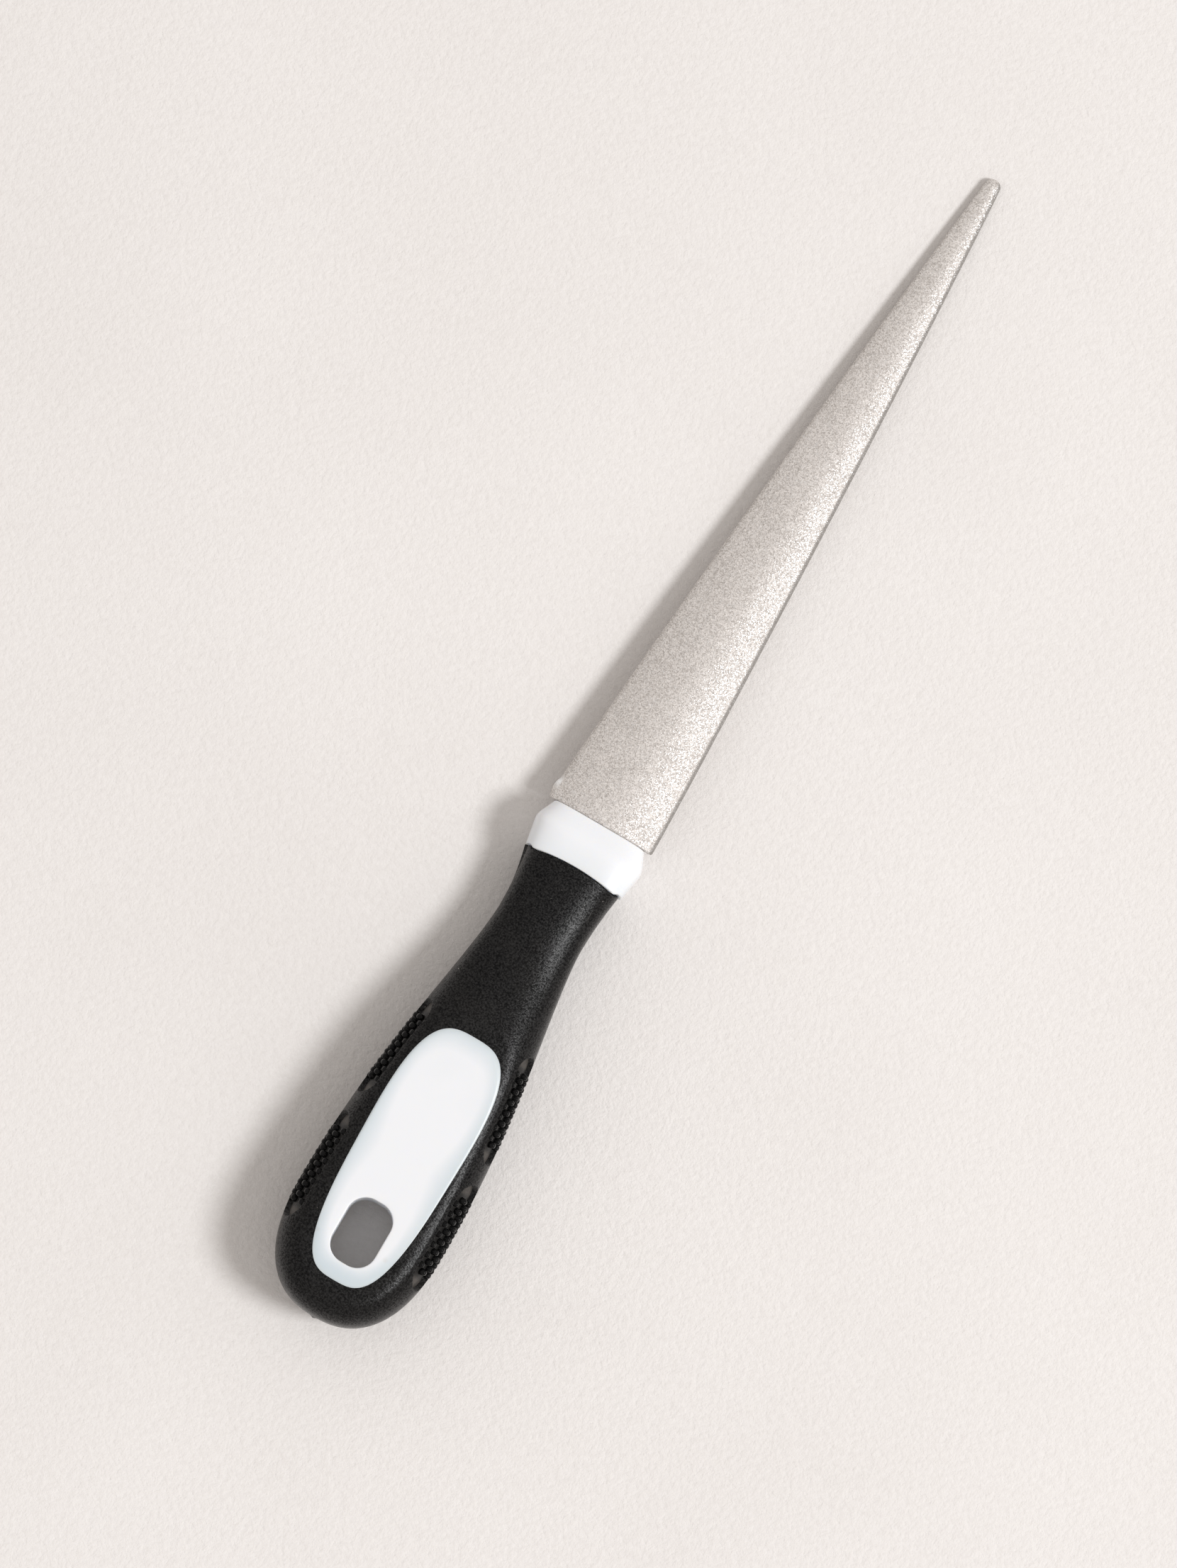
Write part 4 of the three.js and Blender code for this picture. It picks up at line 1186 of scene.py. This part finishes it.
def floor_part(entry):
    """The pad's base: rings on its top, a rounded edge, and the same rings underneath."""
    pad = entry["pad"]
    radius = pad["height"] / 2
    quarter = np.linspace(0, np.pi / 2, PAD_EDGE_RINGS)[1:]
    insets = np.concatenate([
        np.linspace(radius, PAD_INSET + PAD_EDGE_ROUND, PAD_TOP_RINGS),
        PAD_INSET + PAD_EDGE_ROUND * (1 - np.sin(quarter)),
        np.linspace(PAD_INSET, radius, PAD_UNDER_RINGS),
    ])
    depths = np.concatenate([
        np.full(PAD_TOP_RINGS, PAD_RECESS),
        PAD_RECESS + PAD_EDGE_ROUND * (1 - np.cos(quarter)),
        np.full(PAD_UNDER_RINGS, PAD_RECESS + PAD_BASE),
    ])
    rings = [stadium_ring(pad, inset, RING_POINTS) for inset in insets]
    x, y = np.array(rings).transpose(1, 0, 2)
    rise = surface_rise(entry["centre"], entry["axes"], x, y) - depths[:, None]
    local = np.stack([x, y, rise], axis=-1)
    studs_end = pad["length"] / 2 - STUD_END_MARGIN
    # where the painted reflection of the floor goes: the pad's ends beyond its studs
    open_end = smooth((np.abs(x) - studs_end - STUD_RADIUS) / OPEN_END_BLEND)
    return entry["centre"] + local @ entry["axes"], grid_faces(*x.shape, ring=True), open_end


def stud_places(pad):
    """Rows that nest: every other row is shifted by half a pitch."""
    rows = int((pad["height"] - 2 * STUD_SIDE_MARGIN) / STUD_ROW_PITCH) + 1
    steps = int((pad["length"] - 2 * STUD_END_MARGIN) / (STUD_PITCH / 2)) + 1
    row, step = np.meshgrid(np.arange(rows), np.arange(steps), indexing="ij")
    nested = (row + step) % 2 == 0
    x = (step[nested] - (steps - 1) / 2) * STUD_PITCH / 2
    return x, (row[nested] - (rows - 1) / 2) * STUD_ROW_PITCH


def stud_parts(entry):
    """Every stud of a pad: rings of a tapered, domed profile, from the floor to the stud's end."""
    x, y = stud_places(entry["pad"])
    centre, axes = entry["centre"], entry["axes"]
    foot = surface_rise(centre, axes, 0 * x, y) - PAD_RECESS - PAD_BASE / 2
    end = surface_rise(centre, axes, x, y) + STUD_PROUD
    profile = np.array([
        [STUD_RADIUS + STUD_FOOT_FLARE, 0.0],
        [STUD_RADIUS, PAD_BASE / 2 + STUD_FOOT_HEIGHT],
        [STUD_TIP_RADIUS, -DOME],
        [STUD_TIP_RADIUS * DOME_WIDTH, -DOME * DOME_SHARE],
        [0.0, 0.0],
    ])
    radii, heights = profile.T
    from_foot = np.array([1, 1, 0, 0, 0], dtype=bool)
    turn = np.linspace(0, 2 * np.pi, STUD_SIDES, endpoint=False)
    ring_x = x[:, None, None] + radii[None, :, None] * np.cos(turn)
    ring_y = y[:, None, None] + radii[None, :, None] * np.sin(turn)
    level = np.where(from_foot, foot[:, None], end[:, None]) + heights
    level = level[:, :, None] + 0 * ring_x
    local = np.stack([ring_x, ring_y, level], axis=-1)
    foot_ring = np.repeat(local[:, :1].mean(axis=2, keepdims=True), STUD_SIDES, axis=2)
    local = np.concatenate([foot_ring, local], axis=1)
    faces = grid_faces(len(radii) + 1, STUD_SIDES, ring=True)
    return [(centre + stud @ axes, faces) for stud in local]


def make_pad(entry):
    """One pad: its floor and all its studs in one piece with two finishes."""
    floor_points, floor_faces, open_end = floor_part(entry)
    studs = stud_parts(entry)
    stud_points = sum(points[..., 0].size for points, _ in studs)
    fields = {"open_end": np.concatenate([open_end.ravel(), np.zeros(stud_points)])}
    finish = [0] + [1] * len(studs)
    name = entry["node"].replace("stud_pad", "pad")
    parts = [(floor_points, floor_faces), *studs]
    piece = make_piece(name, parts, [pad_floor, stud_gloss], part_material=finish, fields=fields)
    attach(piece, "root")
    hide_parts(entry["node"])
    return piece


pads = [make_pad(entry) for entry in pad_list]
print(len(pads), "pads")

# %% [markdown]
# ## Stage, light and camera
#
# The tool lies on a plain pale floor. Its belly is thicker than its tip, so it rests on the front
# end of the belly's flat and on the tip, and the floor is a little tilted in the tool's own frame.
# A broad light from the right gives a soft shadow, and a pale world fills it. The camera looks
# almost straight down through a long lens, with the tool lying across the picture.

# %% Floor
TIP_FLOOR_DROP = TIP_THICKNESS / 2
TIP_REST_FROM_END = 1.3
REST_Y = FLAT_END
TIP_REST_Y = TIP_Y - TIP_REST_FROM_END
FLOOR_SLOPE = (MIDDLE_Z - TIP_FLOOR_DROP) / (TIP_REST_Y - REST_Y)
FLOOR_SIZE, FLOOR_SIDE, FLOOR_MIDDLE_Y = 3000, 9, 100
FLOOR_CLEAR = 0.02
FLOOR_PALE = (0.81, 0.785, 0.768, 1)
FLOOR_SHADE = (0.73, 0.70, 0.68, 1)
FLOOR_FLECK, FLOOR_FIBRE, FLOOR_CLOUD = 1.3, 0.5, 70.0


def floor_finish():
    """A plain, pale and slightly grained surface."""
    material, tree, shader = new_finish("pale_floor", **{"IOR": 1.4})
    fleck = object_noise(tree, FLOOR_FLECK, detail=4.0, roughness=0.65)
    cloud = object_noise(tree, FLOOR_CLOUD, detail=2.0)
    share = added(tree, remap(tree, fleck, 0.35, 0.7, 0, 0.5), remap(tree, cloud, 0.3, 0.7, 0, 0.3))
    tree.links.new(blend_colour(tree, share, FLOOR_PALE, FLOOR_SHADE), shader.inputs["Base Color"])
    tree.links.new(remap(tree, fleck, 0.3, 0.7, 0.75, 0.9), shader.inputs["Roughness"])
    fibre = object_noise(tree, FLOOR_FIBRE, detail=3.0)
    add_bump(tree, shader, [(fleck, 0.8, 0.35), (fibre, 0.5, 0.12)])
    return material


def make_floor():
    """A wide sheet on the plane through the belly's front end and the tip."""
    edge = np.linspace(-FLOOR_SIZE / 2, FLOOR_SIZE / 2, FLOOR_SIDE)
    x, y = np.meshgrid(edge, edge + FLOOR_MIDDLE_Y, indexing="xy")
    z = (y - REST_Y) * FLOOR_SLOPE - FLOOR_CLEAR
    mesh = bpy.data.meshes.new("floor")
    points = np.stack([x, y, z], axis=-1).reshape(-1, 3) * MM
    mesh.from_pydata(points.tolist(), [], grid_faces(FLOOR_SIDE, FLOOR_SIDE).tolist())
    mesh.materials.append(floor_finish())
    floor = bpy.data.objects.new("floor", mesh)
    bpy.context.scene.collection.objects.link(floor)
    return floor


floor = make_floor()
floor_up = Vector((0, -FLOOR_SLOPE, 1)).normalized()
print(f"rests at y {REST_Y:.1f} mm, floor slope {math.degrees(math.atan(FLOOR_SLOPE)):.2f} degrees")

# %% Camera
TOOL_TURN = math.radians(30.33)
PICTURE_HEIGHT = 341.1
PICTURE_CENTRE = (-6.76, 90.9, 10.5)
CAMERA_AWAY = 1800
CAMERA_LEAN = (0.019, -0.044, 0)
SENSOR_MM = 36

picture_right = Vector((math.cos(TOOL_TURN), math.sin(TOOL_TURN), 0))
camera_data = bpy.data.cameras.new("camera")
camera_data.sensor_width = SENSOR_MM
camera_data.lens = SENSOR_MM * CAMERA_AWAY / PICTURE_HEIGHT
camera_data.clip_start = 0.05
camera_data.clip_end = 20
camera = bpy.data.objects.new("camera", camera_data)
bpy.context.scene.collection.objects.link(camera)
away = (floor_up + Vector(CAMERA_LEAN)).normalized()
right = (picture_right - picture_right.dot(away) * away).normalized()
turned = Matrix((right, away.cross(right), away)).transposed()
place = (Vector(PICTURE_CENTRE) + away * CAMERA_AWAY) * MM
camera.matrix_world = Matrix.Translation(place) @ turned.to_4x4()
bpy.context.scene.camera = camera
print(f"lens {camera_data.lens:.0f} mm, {CAMERA_AWAY} mm away")

# %% Light
KEY_TURN = math.radians(8)
KEY_RISE = math.radians(52)
KEY_AWAY = 4200
KEY_SIZE = 1130
KEY_POWER = 115.0
KEY_COLOUR = (0.985, 0.99, 1.0)
WORLD_COLOUR = (1.0, 0.95, 0.91, 1)
WORLD_STRENGTH = 0.63

key_data = bpy.data.lights.new("key_light", "AREA")
key_data.shape = "DISK"
key_data.size = KEY_SIZE * MM
key_data.energy = KEY_POWER
key_data.color = KEY_COLOUR
key = bpy.data.objects.new("key_light", key_data)
bpy.context.scene.collection.objects.link(key)
level_turn = Vector((math.cos(KEY_TURN), math.sin(KEY_TURN), 0))
to_key = (level_turn * math.cos(KEY_RISE) + Vector((0, 0, 1)) * math.sin(KEY_RISE)).normalized()
key.location = (Vector(PICTURE_CENTRE) + to_key * KEY_AWAY) * MM
key.rotation_euler = to_key.to_track_quat("Z", "Y").to_euler()

world = bpy.data.worlds.new("studio")
world.use_nodes = True
background = world.node_tree.nodes["Background"]
background.inputs["Color"].default_value = WORLD_COLOUR
background.inputs["Strength"].default_value = WORLD_STRENGTH
bpy.context.scene.world = world
bpy.context.scene.view_settings.view_transform = "Standard"
print(f"key light {KEY_POWER} W, world {WORLD_STRENGTH}")
